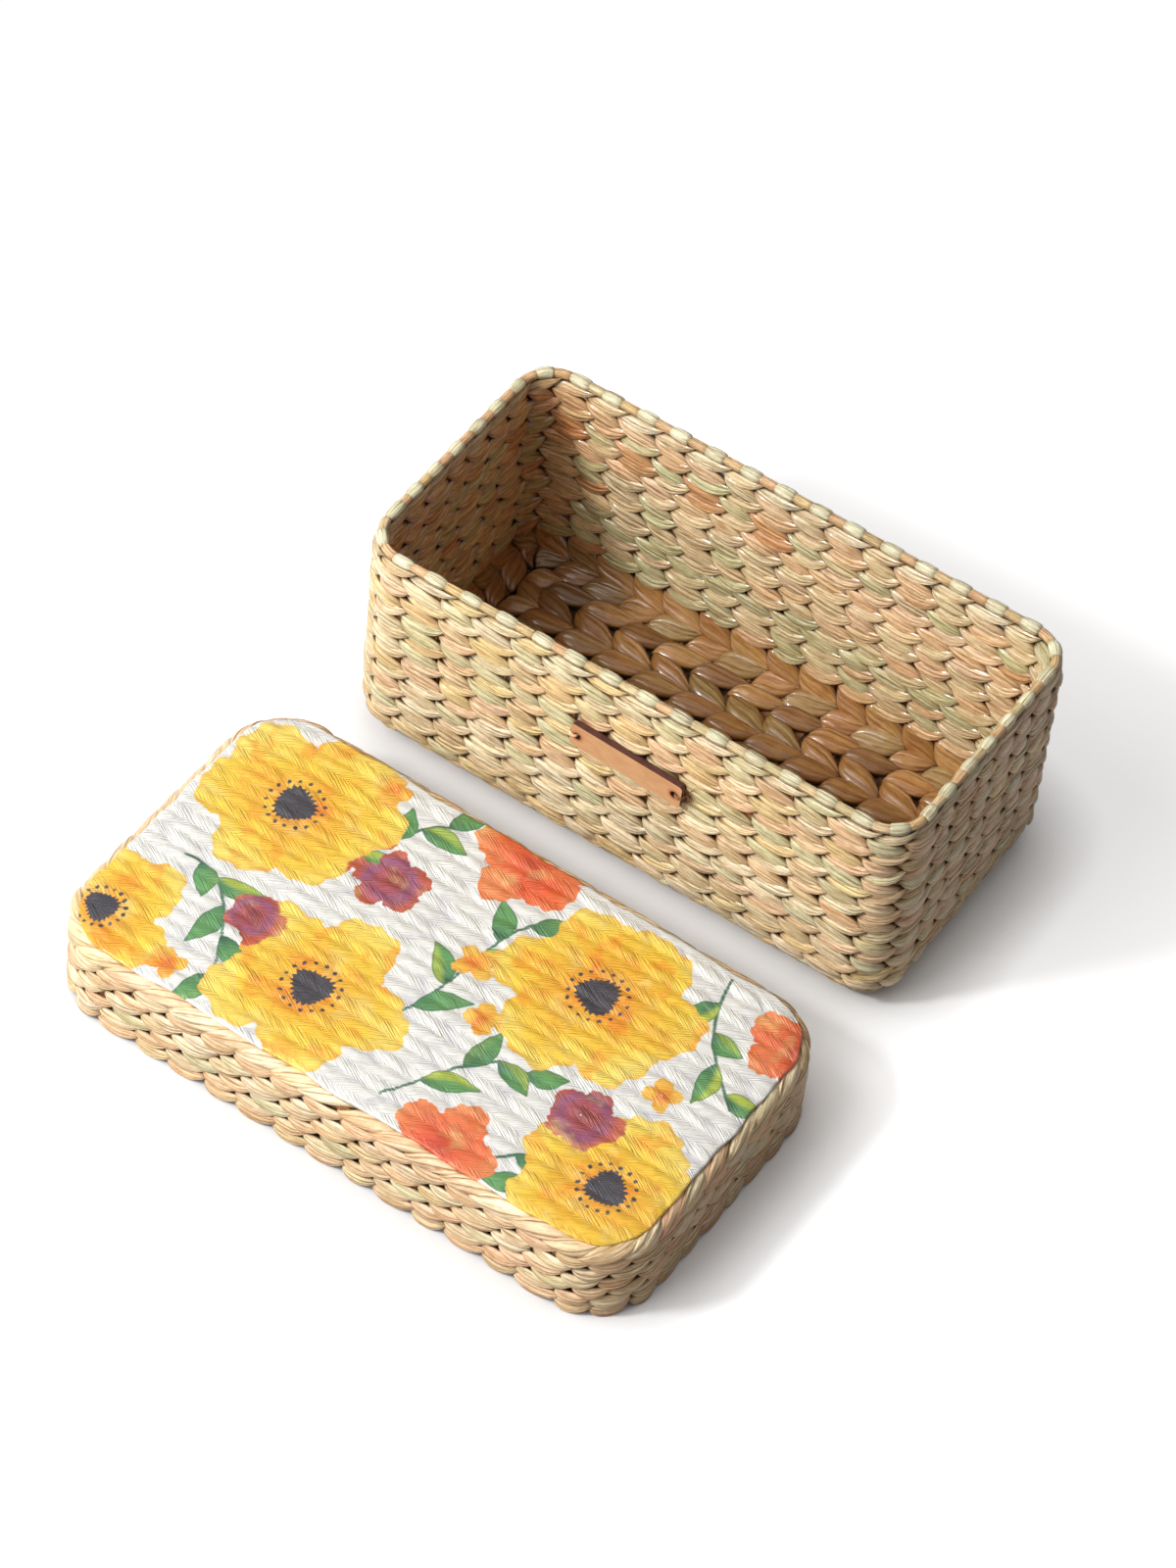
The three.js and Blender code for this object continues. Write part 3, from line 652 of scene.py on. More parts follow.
reedTints = {
    "straw": linear(233, 209, 166),
    "cream": linear(241, 223, 187),
    "peach": linear(238, 204, 164),
    "green": linear(223, 214, 172),
    "yellow": linear(234, 208, 154),
    "rust": linear(216, 164, 114),
    "sage": linear(214, 206, 160),
    "apricot": linear(237, 198, 153),
    "tan": linear(202, 156, 98),
    "olive": linear(178, 148, 92),
    "brown": linear(190, 140, 80),
    "dark": linear(160, 116, 68),
    # gap is the painted shade seen through the weave's gaps, worn by the linings
    "gap": linear(104, 64, 38),
    "pillow": linear(236, 229, 194),
}
reedMixes = {
    "outer": [("straw", 0.28), ("cream", 0.22), ("peach", 0.26), ("green", 0.14), ("yellow", 0.1)],
    "lid": [("cream", 0.34), ("peach", 0.4), ("straw", 0.2), ("green", 0.06)],
    "shoulder": [("cream", 0.36), ("peach", 0.42), ("straw", 0.22)],
    "inner": [("straw", 0.26), ("apricot", 0.24), ("sage", 0.26), ("peach", 0.12), ("rust", 0.03),
              ("cream", 0.09)],
    "brown": [("tan", 0.34), ("olive", 0.22), ("brown", 0.36), ("dark", 0.08)],
}


# Two strands take turns along a row, and now and then one gives out and another starts
def rowTints(count, mix, rng, change=0.2):
    names = [name for name, share in reedMixes[mix]]
    shares = np.array([share for name, share in reedMixes[mix]])
    shares = shares / shares.sum()
    running = [rng.choice(names, p=shares), rng.choice(names, p=shares)]
    tints = []
    for index in range(count):
        if rng.random() < change:
            running[index % 2] = rng.choice(names, p=shares)
        tint = np.array(reedTints[running[index % 2]])
        lighter, hue = rng.normal(0, weaveSetup["toneJitter"]), rng.normal(0, weaveSetup["hueJitter"], 3)
        tints.append(tint * (1 + lighter) * (1 + hue))
    return np.clip(np.array(tints), 0, 1)


weaveSetup = {
    "pairShift": 0.9,
    "rowShift": 2.8,
    "startPastStake": 1.9,
    "swell": 2.6,
    "shadyFrom": -95.0,
    "shadyRun": 25.0,
    "shadyTone": (0.88, 0.7, 0.54),
    "startJitter": 0.36,
    "tipJitter": 0.72,
    "levelJitter": 0.16,
    "swellJitter": 0.06,
    "toneJitter": 0.04,
    "hueJitter": 0.015,
    "shiftSeed": 5,
}


# One row of twined strands right round a wall. Inside, the strands at the left end are painted darker and
# browner, as shade.
def twinedRow(face, outline, columns, inside, nearLevel, farLevel, mix, seed, form, swell=None, shift=0.0,
              steps=12, strips=3):
    rng = np.random.default_rng(seed)
    count = len(columns)
    places = columns + shift + weaveSetup["pairShift"] * np.where(np.arange(count) % 2, 1, -1)
    if inside:
        places = np.sort(np.mod(-places, outline.total))
    following = np.roll(places, -1)
    following[-1] += outline.total
    past = weaveSetup["startPastStake"]
    starts = places + past + rng.normal(0, weaveSetup["startJitter"], count)
    tips = following + past + strandForms[form]["reach"] + rng.normal(0, weaveSetup["tipJitter"], count)
    nearLevels = nearLevel + rng.normal(0, weaveSetup["levelJitter"], count)
    farLevels = farLevel + rng.normal(0, weaveSetup["levelJitter"], count)
    swells = (swell or weaveSetup["swell"]) * (1 + rng.normal(0, weaveSetup["swellJitter"], count))
    tints = rowTints(count, mix, rng)
    if inside:
        x = face(starts, nearLevels, 0)[:, 0]
        shade = np.clip((weaveSetup["shadyFrom"] - x) / weaveSetup["shadyRun"], 0, 1)[:, None]
        tints = tints * (1 - shade * (1 - np.array(weaveSetup["shadyTone"])))
    return strandBodies(face, starts, tips, nearLevels, farLevels, strandForms[form], swells, tints,
                        rng.random(count), steps, strips)


# A course is a falling row above a rising one, and it lies a little along from its neighbours
def twinedCourse(face, outline, columns, inside, high, middle, low, mix, seed):
    side = "inner" if inside else "outer"
    shift = np.random.default_rng(seed + weaveSetup["shiftSeed"]).uniform(-1, 1) * weaveSetup["rowShift"]
    return [
        twinedRow(face, outline, columns, inside, high, middle, mix, seed, side + " falling", shift=shift),
        twinedRow(face, outline, columns, inside, low, middle, mix, seed + 1, side + " rising", shift=shift),
    ]


# Box walls

wallSetup = {
    "bottom": 17.0, "top": 100.0, "courses": 7, "rimBottom": 104.4, "topSwell": 2.0,
    "seed": 100, "seedStep": 10, "topSeed": 190,
}


def buildWalls(setup):
    pitch = (setup["top"] - setup["bottom"]) / setup["courses"]
    for index in range(setup["courses"]):
        low = setup["bottom"] + index * pitch
        high, middle = low + pitch, low + pitch / 2
        seed = setup["seed"] + setup["seedStep"] * index
        outer = twinedCourse(outerWall, boxOutline, boxColumns, False, high, middle, low, "outer", seed)
        inner = twinedCourse(innerWall, boxOutline, boxColumns, True, high, middle, low, "inner", seed + 2)
        node = "wall_course_%02d" % (index + 1)
        reedPiece("outer_course_%02d" % (index + 1), outer, "pale reed", "box", [node])
        reedPiece("inner_course_%02d" % (index + 1), inner, "inner reed", "box", [node])
    low, high, seed, swell = setup["top"], setup["rimBottom"], setup["topSeed"], setup["topSwell"]
    outer = twinedRow(outerWall, boxOutline, boxColumns, False, low, high, "outer", seed,
                      "outer rising", swell)
    inner = twinedRow(innerWall, boxOutline, boxColumns, True, low, high, "inner", seed + 1,
                      "inner rising", swell)
    reedPiece("outer_top_row", [outer], "pale reed", "box", ["wall_top_row"])
    reedPiece("inner_top_row", [inner], "inner reed", "box", ["wall_top_row"])


buildWalls(wallSetup)
print("box walls woven")

# Floor and feet

floorSetup = {
    "rows": 5, "pitch": 18.94, "halfLength": 109.7, "columnPitch": 18.4, "overlap": 1.42,
    "topSwell": 3.6, "underSwell": 2.3, "edgeSwell": 2.3, "shortest": 6, "steps": 14,
    "placeJitter": 0.5, "levelJitter": 0.25, "swellJitter": 0.05, "tintChange": 0.5,
    "baseCourses": 2, "seed": 300, "seedStep": 10, "baseSeed": 380, "edgeSeed": 388,
}


def floorRow(face, centre, side, seed, swell, setup):
    rng = np.random.default_rng(seed)
    half = setup["halfLength"]
    count = int(2 * half / setup["columnPitch"]) + 1
    step = 2 * half / count
    starts = -half - step / 2 + step * np.arange(count + 1) + rng.normal(0, setup["placeJitter"], count + 1)
    tips = starts + step * setup["overlap"] + rng.normal(0, setup["placeJitter"], count + 1)
    starts, tips = np.clip(starts, -half, half), np.clip(tips, -half, half)
    keep = tips - starts > setup["shortest"]
    starts, tips = starts[keep], tips[keep]
    count = len(starts)
    near = np.full(count, centre) + rng.normal(0, setup["levelJitter"], count)
    far = near + side * setup["pitch"] / 2
    swells = swell * (1 + rng.normal(0, setup["swellJitter"], count))
    tints = rowTints(count, "brown", rng, setup["tintChange"])
    return strandBodies(face, starts, tips, near, far, strandForms["floor"], swells, tints,
                        rng.random(count), steps=setup["steps"])


# Each floor row has two rows of strands that slant opposite ways, above and below its stakes
def buildFloor(setup):
    for index in range(setup["rows"]):
        centre = (index - (setup["rows"] - 1) / 2) * setup["pitch"]
        seed = setup["seed"] + setup["seedStep"] * index
        parts = [
            floorRow(floorTop, centre, 1, seed, setup["topSwell"], setup),
            floorRow(floorTop, centre, -1, seed + 1, setup["topSwell"], setup),
            floorRow(floorUnder, centre, 1, seed + 2, setup["underSwell"], setup),
            floorRow(floorUnder, centre, -1, seed + 3, setup["underSwell"], setup),
        ]
        name = "floor_weave_%02d" % (index + 1)
        reedPiece(name, parts, "brown reed", "box", ["floor_row_%02d" % (index + 1)])
    footArc = wallSeats["footRadius"] * math.pi / 2
    bendArc = (wallSeats["footRadius"] - wallSeats["wall"]) * math.pi / 2
    top = wallSeats["footRadius"]
    rowHeight = footArc / (2 * setup["baseCourses"])
    outer = []
    for index in range(setup["baseCourses"]):
        high = top - 2 * index * rowHeight
        outer += twinedCourse(outerWall, boxOutline, boxColumns, False, high, high - rowHeight,
                              high - 2 * rowHeight, "outer", setup["baseSeed"] + 2 * index)
    reedPiece("base_weave", outer, "pale reed", "box", ["base_course"])
    inner = [
        twinedRow(innerWall, boxOutline, boxColumns, True, level, top - bendArc / 2, "brown",
                  setup["edgeSeed"] + number, "floor", setup["edgeSwell"])
        for number, level in enumerate((top, top - bendArc))
    ]
    reedPiece("floor_edge_weave", inner, "brown reed", "box", ["floor_edge_row"])


buildFloor(floorSetup)
print("floor and feet woven")

# Rim

rimSetup = {
    "centreDepth": 3.25, "centreLevel": 106.2, "halfDepth": 2.5, "halfHeight": 2.3,
    "pillowShare": 0.6, "pillowExtra": 0.8, "pillowTaper": (6, 2.2),
    "bandShare": 0.5, "bandExtra": 1.0, "bandSize": 0.76, "bandTaper": (9, 9),
    "steps": 10, "around": 16, "strips": 8, "fluteDepth": 0.05, "endGirth": 0.05, "roundness": 0.85,
    "placeJitter": 0.5, "toneJitter": 0.05, "bandChange": 0.6, "bandTint": (0.98, 0.9, 0.78), "seed": 500,
}


# Closed rolls along the rim: plump pillows and the slimmer bands between them
def rimRolls(centres, halfLengths, size, taper, tints, seeds, setup):
    count, steps, around = len(centres), setup["steps"], setup["around"]
    along = np.linspace(-1, 1, steps + 1)[:, None]
    turn = np.linspace(0, 2 * math.pi, around, endpoint=False)[None]
    taper = np.where(along < 0, *taper)
    girth = size * np.sqrt(np.clip(1 - np.abs(along) ** taper, setup["endGirth"], 1))
    flutes = 1 + setup["fluteDepth"] * np.where(np.arange(around) % 2, 1, -1)[None]
    across = girth * flutes * np.sign(np.cos(turn)) * np.abs(np.cos(turn)) ** setup["roundness"]
    upward = girth * flutes * np.sign(np.sin(turn)) * np.abs(np.sin(turn)) ** setup["roundness"]
    halfLengths, seeds = halfLengths[:, None, None], seeds[:, None, None]
    s = centres[:, None, None] + halfLengths * along + 0 * turn
    depth = setup["centreDepth"] - setup["halfDepth"] * across
    verts = boxOutline.inset(s, depth, setup["centreLevel"] + setup["halfHeight"] * upward)
    perBody = (steps + 1) * around
    quads, caps = tubeFaces(steps, around)
    outward = np.roll(quads[:, ::-1], 1, axis=1)
    loops, sizes = repeatedFaces(outward, caps[:, ::-1], perBody, count)
    place = stack(halfLengths * along, turn / (2 * math.pi) * setup["strips"], seeds + 0 * s)
    # Each roll is painted darker towards its ends, as shade where it meets the next roll
    return {
        "verts": verts.reshape(-1, 3), "loops": loops, "sizes": sizes,
        "tint": np.repeat(tints, perBody, axis=0), "place": place.reshape(-1, 3),
        "edge": (np.abs(along) + 0 * s).reshape(-1),
    }


def buildRim(setup):
    rng = np.random.default_rng(setup["seed"])
    count = len(boxColumns)
    following = np.roll(boxColumns, -1)
    following[-1] += boxOutline.total
    pitch = following - boxColumns
    pillowAt = boxColumns + rng.normal(0, setup["placeJitter"], count)
    lighter = rng.normal(0, setup["toneJitter"], (count, 1))
    pillowTints = np.clip(np.array([reedTints["pillow"]] * count) * (1 + lighter), 0, 1)
    pillowHalf = pitch * setup["pillowShare"] / 2 + setup["pillowExtra"]
    pillows = rimRolls(pillowAt, pillowHalf, 1.0, setup["pillowTaper"], pillowTints, rng.random(count), setup)
    bandTints = rowTints(count, "outer", rng, setup["bandChange"]) * np.array(setup["bandTint"])
    bandHalf = pitch * setup["bandShare"] / 2 + setup["bandExtra"]
    bands = rimRolls((boxColumns + following) / 2, bandHalf, setup["bandSize"], setup["bandTaper"],
                     np.clip(bandTints, 0, 1), rng.random(count), setup)
    reedPiece("rim_roll", [pillows, bands], "pale reed", "box", ["rim_border"])


buildRim(rimSetup)
print("rim bound")

# Lid sides

lidSetup = {
    "rows": 6, "top": 33.2, "swell": 1.8, "rowShift": 5.2, "innerSteps": 9, "innerStrips": 2,
    "seed": 700, "seedStep": 10,
}


def buildLidSides(setup):
    rng = np.random.default_rng(setup["seed"])
    pitch = setup["top"] / setup["rows"]
    for index in range(setup["rows"] // 2):
        node = "lid_course_%02d" % (index + 1)
        outer, inner = [], []
        for row in (2 * index, 2 * index + 1):
            low, high = row * pitch, (row + 1) * pitch
            seed = setup["seed"] + setup["seedStep"] * row
            shift = rng.uniform(-1, 1) * setup["rowShift"]
            outer.append(twinedRow(outerLidWall, lidOutline, lidColumns, False, low, high, "lid", seed,
                                   "lid side", setup["swell"], shift))
            inner.append(twinedRow(innerLidWall, lidOutline, lidColumns, True, low, high, "inner", seed + 1,
                                   "lid side", setup["swell"], shift, setup["innerSteps"],
                                   setup["innerStrips"]))
        reedPiece("outer_lid_course_%02d" % (index + 1), outer, "lid reed", "lid", [node])
        reedPiece("inner_lid_course_%02d" % (index + 1), inner, "inner reed", "lid", [node])


buildLidSides(lidSetup)
print("lid sides woven")

# The shoulder strands wrap over the lid's top edge

shoulderSetup = {
    "bottom": 33.2, "bendAt": 34.4, "radius": 6.2, "topRun": 3.2, "lowest": -0.6, "wraps": 50,
    "pitches": 2.15, "swell": 2.3, "steps": 18, "startJitter": 1.0, "tipJitter": 1.2,
    "lowJitter": 0.3, "highJitter": 0.4, "swellJitter": 0.06, "tintChange": 0.5, "seed": 800,
}


def shoulderFace(s, v, lift):
    radius = shoulderSetup["radius"]
    rise = shoulderSetup["bendAt"] - shoulderSetup["bottom"]
    depth = wallSeats["outerDepth"] - lift
    turn = np.clip((v - rise) / radius, 0, math.pi / 2)
    beyond = np.clip(v - rise - radius * math.pi / 2, 0, None)
    z = shoulderSetup["bottom"] + np.minimum(v, rise) + (radius - depth) * np.sin(turn)
    return onLid(lidOutline.inset(s, radius - (radius - depth) * np.cos(turn) + beyond, z))


def buildShoulder(setup):
    rng = np.random.default_rng(setup["seed"])
    count = setup["wraps"]
    pitch = lidOutline.total / count
    starts = pitch * np.arange(count) + rng.normal(0, setup["startJitter"], count)
    tips = starts + setup["pitches"] * pitch + rng.normal(0, setup["tipJitter"], count)
    top = setup["bendAt"] - setup["bottom"] + setup["radius"] * math.pi / 2 + setup["topRun"]
    near = np.full(count, setup["lowest"]) + rng.normal(0, setup["lowJitter"], count)
    far = np.full(count, top) + rng.normal(0, setup["highJitter"], count)
    swells = setup["swell"] * (1 + rng.normal(0, setup["swellJitter"], count))
    tints = rowTints(count, "shoulder", rng, setup["tintChange"])
    wraps = strandBodies(shoulderFace, starts, tips, near, far, strandForms["shoulder"], swells, tints,
                         rng.random(count), steps=setup["steps"])
    reedPiece("shoulder_wraps", [wraps], "lid reed", "lid", ["lid_shoulder_row"])


buildShoulder(shoulderSetup)
print("lid shoulder wrapped")

# Linings between the outer and inner strands: closed bodies that block light, painted the dark brown of the
# shade seen through gaps in the weave

liningSetup = {
    "outer": 3.05, "inner": 3.45, "boxTop": 104.8, "around": 200, "bendPoints": 7,
    "lidBottom": 1.2, "lidBend": 35.0, "lidUnder": 36.6, "lidTop": 40.4, "topInset": 8.0,
    "seed": 0.5, "edge": 0.5,
}


# Rings joined in order into one closed body
def ringStack(rings, setup):
    quads, caps = tubeFaces(len(rings) - 1, len(rings[0]))
    verts = np.concatenate(rings)
    total = len(verts)
    loops, sizes = repeatedFaces(quads, caps, total, 1)
    return {
        "verts": verts, "loops": loops, "sizes": sizes,
        "tint": np.tile(reedTints["gap"], (total, 1)),
        "place": stack(verts[:, 2], verts[:, 0] + verts[:, 1], setup["seed"]),
        "edge": np.full(total, setup["edge"]),
    }


def buildLinings(setup):
    outer, inner, foot = setup["outer"], setup["inner"], wallSeats["footRadius"]
    s = np.linspace(0, boxOutline.total, setup["around"], endpoint=False)
    turns = np.linspace(0, math.pi / 2, setup["bendPoints"])

    def down(depth):
        reach = foot - depth
        rings = [boxOutline.inset(s, depth, setup["boxTop"])]
        for turn in turns:
            rings.append(boxOutline.inset(s, foot - reach * math.cos(turn), foot - reach * math.sin(turn)))
        return rings

    rings = down(outer)[::-1] + down(inner)
    reedPiece("box_lining", [ringStack(rings, setup)], "brown reed", "box", [])
    s = np.linspace(0, lidOutline.total, setup["around"], endpoint=False)
    levels = [(inner, "lidUnder"), (inner, "lidBottom"), (outer, "lidBottom"), (outer, "lidBend"),
              (setup["topInset"], "lidTop")]
    rings = [onLid(lidOutline.inset(s, depth, setup[level])) for depth, level in levels]
    reedPiece("lid_lining", [ringStack(rings, setup)], "brown reed", "lid", [])


buildLinings(liningSetup)
print("linings set")

# Lid top: strands below, the printed sheet above

lidTopSetup = {
    "halfX": 126.0, "halfY": 66.5, "radius": 21.0, "rowPitch": 12.1, "columnPitch": 17.5,
    "seat": 36.4, "swell": 2.3, "overlap": 1.35, "placeJitter": 0.4, "tintChange": 0.4,
    "steps": 8, "strips": 2, "seed": 900,
}


def lidUnderFace(s, v, lift):
    return onLid(stack(s, v, lidTopSetup["seat"] - lift))


def buildLidTopWeave(setup):
    rng = np.random.default_rng(setup["seed"])
    halfRow = setup["rowPitch"] / 2
    rows = int(setup["halfY"] // halfRow)
    parts = []
    for index in range(-rows, rows):
        isFar = index % 2 == 0
        near = (index if isFar else index + 1) * halfRow
        far = near + (halfRow if isFar else -halfRow)
        over = max(abs(near), abs(far)) - (setup["halfY"] - setup["radius"])
        cut = setup["radius"] - math.sqrt(max(setup["radius"] ** 2 - max(over, 0) ** 2, 0))
        half = setup["halfX"] - cut
        count = int(2 * half / setup["columnPitch"])
        step = 2 * half / count
        starts = -half + step * np.arange(count) + rng.normal(0, setup["placeJitter"], count)
        tips = np.minimum(starts + setup["overlap"] * step, half)
        tints = rowTints(count, "inner", rng, setup["tintChange"])
        parts.append(strandBodies(lidUnderFace, starts, tips, np.full(count, near), np.full(count, far),
                                  strandForms["floor"], np.full(count, setup["swell"]), tints,
                                  rng.random(count), setup["steps"], setup["strips"]))
    reedPiece("lid_top_weave", parts, "inner reed", "lid", ["lid_top_panel"])


# The sheet's own size, then its ragged edge, its creases, and the stitches that push it up
sheetSetup = {
    "halfX": 130.9, "halfY": 69.95, "radius": 24.6, "base": 39.7, "level": 41.05, "spacing": 0.84,
    "ragged": 0.5, "raggedPower": 8, "raggedRuns": (17.0, 21.0), "edgeRun": 5.0, "edgeDrop": 0.6,
    "wrinkle": 0.09, "wrinkleRun": 5.0, "wrinkleStretch": 2.2, "wave": 0.1, "waveRun": 40.0,
    "rippleCount": 6, "rippleSpread": (0.7, 1.4),
    "relief": 1.3, "edgeRelief": 0.55, "reliefRun": 12, "variety": 80, "stitchShift": 0.3, "slant": 0.52,
    "lowStitch": 0.65, "stitchSpread": 0.5, "alongPower": 2.4, "acrossPower": 2.6, "softening": 2,
    "seed": 950,
}


# Smooth random waves over the sheet
def ripples(x, y, length, rng):
    total = 0
    for _ in range(sheetSetup["rippleCount"]):
        turn, start = rng.uniform(0, 2 * math.pi, 2)
        size = length * rng.uniform(*sheetSetup["rippleSpread"])
        total = total + np.sin(2 * math.pi * (x * math.cos(turn) + y * math.sin(turn)) / size + start)
    return total / math.sqrt(sheetSetup["rippleCount"])


# How far the stitches under the sheet push it up, and where they rise
def stitchRelief(x, y, setup, rng):
    halfRow = lidTopSetup["rowPitch"] / 2
    row = np.floor(y / halfRow)
    within = y / halfRow - row
    rising = np.mod(row, 2)
    q = np.where(rising > 0, within, 1 - within)
    variety = setup["variety"]
    shifts = rng.random(variety)[(row // 2).astype(int) % variety] * setup["stitchShift"]
    phase = x / lidTopSetup["columnPitch"] + shifts - setup["slant"] * q
    column = np.floor(phase)
    p = phase - column
    heights = setup["lowStitch"] + setup["stitchSpread"] * rng.random((variety, variety))
    height = heights[row.astype(int) % variety, column.astype(int) % variety]
    relief = height * (1 - np.abs(2 * p - 1) ** setup["alongPower"])
    relief = relief * (1 - np.abs(2 * within - 1) ** setup["acrossPower"])
    for _ in range(setup["softening"]):
        relief = (np.roll(relief, 1, 0) + np.roll(relief, -1, 0) + 2 * relief) / 4
        relief = (np.roll(relief, 1, 1) + np.roll(relief, -1, 1) + 2 * relief) / 4
    return relief, rising


def roundedInside(x, y, shape):
    dx = np.abs(x) - (shape["halfX"] - shape["radius"])
    dy = np.abs(y) - (shape["halfY"] - shape["radius"])
    outer = np.hypot(np.maximum(dx, 0), np.maximum(dy, 0))
    return shape["radius"] - outer - np.minimum(np.maximum(dx, dy), 0)


# The printed flowers, in millimetres from the sheet's middle. A blossom has its place, size, turn
# in degrees and petals, and a sprig the four points of its stem's curve and its leaves.

printSetup = {
    "gold": [(-92, 32, 41, 20, 6), (-34, -36, 41, 75, 5), (54, 28, 42, 130, 6), (108, -44, 39, 15, 5),
             (-120, -54, 33, 200, 5)],
    "coral": [(-2, 66, 25, 250, 5), (48, -66, 22, 80, 5), (128, 52, 20, 160, 5)],
    "mulberry": [(-40, 24, 15, 40, 5), (82, -22, 14, 300, 5), (-72, -22, 11, 10, 5)],
    "bud": [(8, 12, 9, 60, 4), (26, -8, 8, 200, 4), (100, 4, 8, 20, 4), (-66, 62, 8, 100, 4),
            (-84, -60, 8, 30, 4)],
    "sprigs": [
        ((-4, -30), (12, -4), (2, 26), (18, 44), 5),
        ((16, -60), (34, -30), (38, -14), (60, -20), 4),
        ((-66, 10), (-50, 44), (-50, 54), (-34, 62), 4),
        ((90, 66), (94, 40), (106, 30), (124, 14), 4),
        ((-110, -14), (-92, -8), (-76, -30), (-64, -62), 5),
        ((66, -60), (76, -44), (86, -46), (80, -66), 3),
    ],
    "outside": -50.0, "noLobe": 30.0,
}
# Lengths and widths of petals are shares of their blossom's size
blossomSetup = {
    "aimSpread": 0.12, "length": (0.44, 0.58), "width": (0.38, 0.5), "reach": 0.5, "shadeSpread": 0.12,
    "waves": 5, "waveStart": 6, "waveDepth": 0.05, "ripples": 11, "rippleDepth": 0.04, "paintMargin": -2,
    "spokeRadius": 2, "spokeLength": 40, "heart": 0.2, "heartWaves": 3, "heartWaveDepth": 0.1,
    "teeth": 23, "toothDepth": 0.12, "dots": 17, "dotRadius": 0.9, "dotRing": 1.42,
}
sprigSetup = {
    "points": 60, "stemRadius": 0.75, "firstLeaf": 0.7, "leafAim": (0.5, 0.95), "leafSizes": (0.75, 1.15),
    "leafLength": 21, "leafWidth": 4.6, "leafBend": 1.6, "leafFoot": 0.8, "leafTip": 1.1,
    "leafMargin": 0.3, "leafEnd": 20,
}
printColours = {
    "gold": [linear(240, 146, 40), linear(249, 188, 46), linear(252, 208, 60), linear(254, 226, 106)],
    "coral": [linear(206, 70, 44), linear(232, 98, 56), linear(240, 122, 70), linear(244, 150, 92)],
    "mulberry": [linear(132, 52, 58), linear(168, 72, 76), linear(150, 82, 120), linear(196, 96, 70)],
    "bud": [linear(236, 140, 50), linear(244, 170, 56), linear(248, 196, 74), linear(250, 210, 96)],
    "leafDark": linear(46, 100, 74),
    "leafMiddle": linear(96, 154, 88),
    "leafPale": linear(184, 200, 78),
    "stem": linear(60, 112, 84),
    "heart": linear(50, 46, 54),
    "paper": linear(240, 239, 232),
    "hollowShade": linear(218, 214, 219),
}


def blend(colours, share):
    stops = np.linspace(0, 1, len(colours))
    return np.stack([np.interp(share, stops, [colour[k] for colour in colours]) for k in range(3)], axis=-1)


# The edge value of a shape says how far inside it each point of the sheet lies
def paintPetals(dx, dy, size, turn, petals, rng):
    setup = blossomSetup
    edge = np.full_like(dx, printSetup["outside"])
    lobe = np.full_like(dx, printSetup["outside"])
    shade = np.zeros_like(dx)
    for index in range(petals):
        spread = rng.uniform(-setup["aimSpread"], setup["aimSpread"])
        aim = math.radians(turn) + 2 * math.pi * (index + spread) / petals
        length, width = size * rng.uniform(*setup["length"]), size * rng.uniform(*setup["width"])
        along = dx * math.cos(aim) + dy * math.sin(aim) - size * setup["reach"]
        across = dy * math.cos(aim) - dx * math.sin(aim)
        around = np.arctan2(across, along)
        wave = 1 + setup["waveDepth"] * np.sin(setup["waves"] * around + rng.uniform(0, setup["waveStart"]))
        wave = wave + setup["rippleDepth"] * np.sin(setup["ripples"] * around + index)
        value = (wave - np.sqrt((along / length) ** 2 + (across / width) ** 2)) * width
        isOn = value > 0
        lobe = np.where(isOn, value, lobe)
        shade = np.where(isOn, rng.uniform(-setup["shadeSpread"], setup["shadeSpread"]), shade)
        edge = np.maximum(edge, value)
    return edge, lobe, shade


def paintHeart(radius, angle, size, turn, layers):
    setup = blossomSetup
    heartSize = size * setup["heart"]
    fringe = 1 + setup["heartWaveDepth"] * np.sin(setup["heartWaves"] * angle + turn)
    fringe = fringe + setup["toothDepth"] * np.sin(setup["teeth"] * angle)
    heart = heartSize * fringe - radius
    spot = np.mod(angle * setup["dots"] / (2 * math.pi), 1) - 0.5
    dotAlong = spot * 2 * math.pi * radius / setup["dots"]
    dots = setup["dotRadius"] - np.hypot(dotAlong, radius - heartSize * setup["dotRing"])
    layers["heartEdge"] = np.maximum(layers["heartEdge"], np.maximum(heart, dots))


def paintBlossoms(x, y, rng, layers):
    setup = blossomSetup
    for kind in ("coral", "gold", "mulberry", "bud"):
        for px, py, size, turn, petals in printSetup[kind]:
            dx, dy = x - px, y - py
            radius, angle = np.hypot(dx, dy), np.arctan2(dy, dx)
            edge, lobe, shade = paintPetals(dx, dy, size, turn, petals, rng)
            isOn = edge > setup["paintMargin"]
            share = np.clip(radius / size + shade, 0, 1)
            layers["bloomColour"][isOn] = blend(printColours[kind], share)[isOn]
            spoke = np.stack([np.cos(angle) * setup["spokeRadius"] + px,
                              np.sin(angle) * setup["spokeRadius"] + py,
                              radius / setup["spokeLength"]], axis=-1)
            layers["bloomSpoke"][isOn] = spoke[isOn]
            layers["bloomLobe"] = np.where(edge > 0, lobe, layers["bloomLobe"])
            if kind == "gold":
                paintHeart(radius, angle, size, turn, layers)
            layers["bloomEdge"] = np.maximum(layers["bloomEdge"], edge)


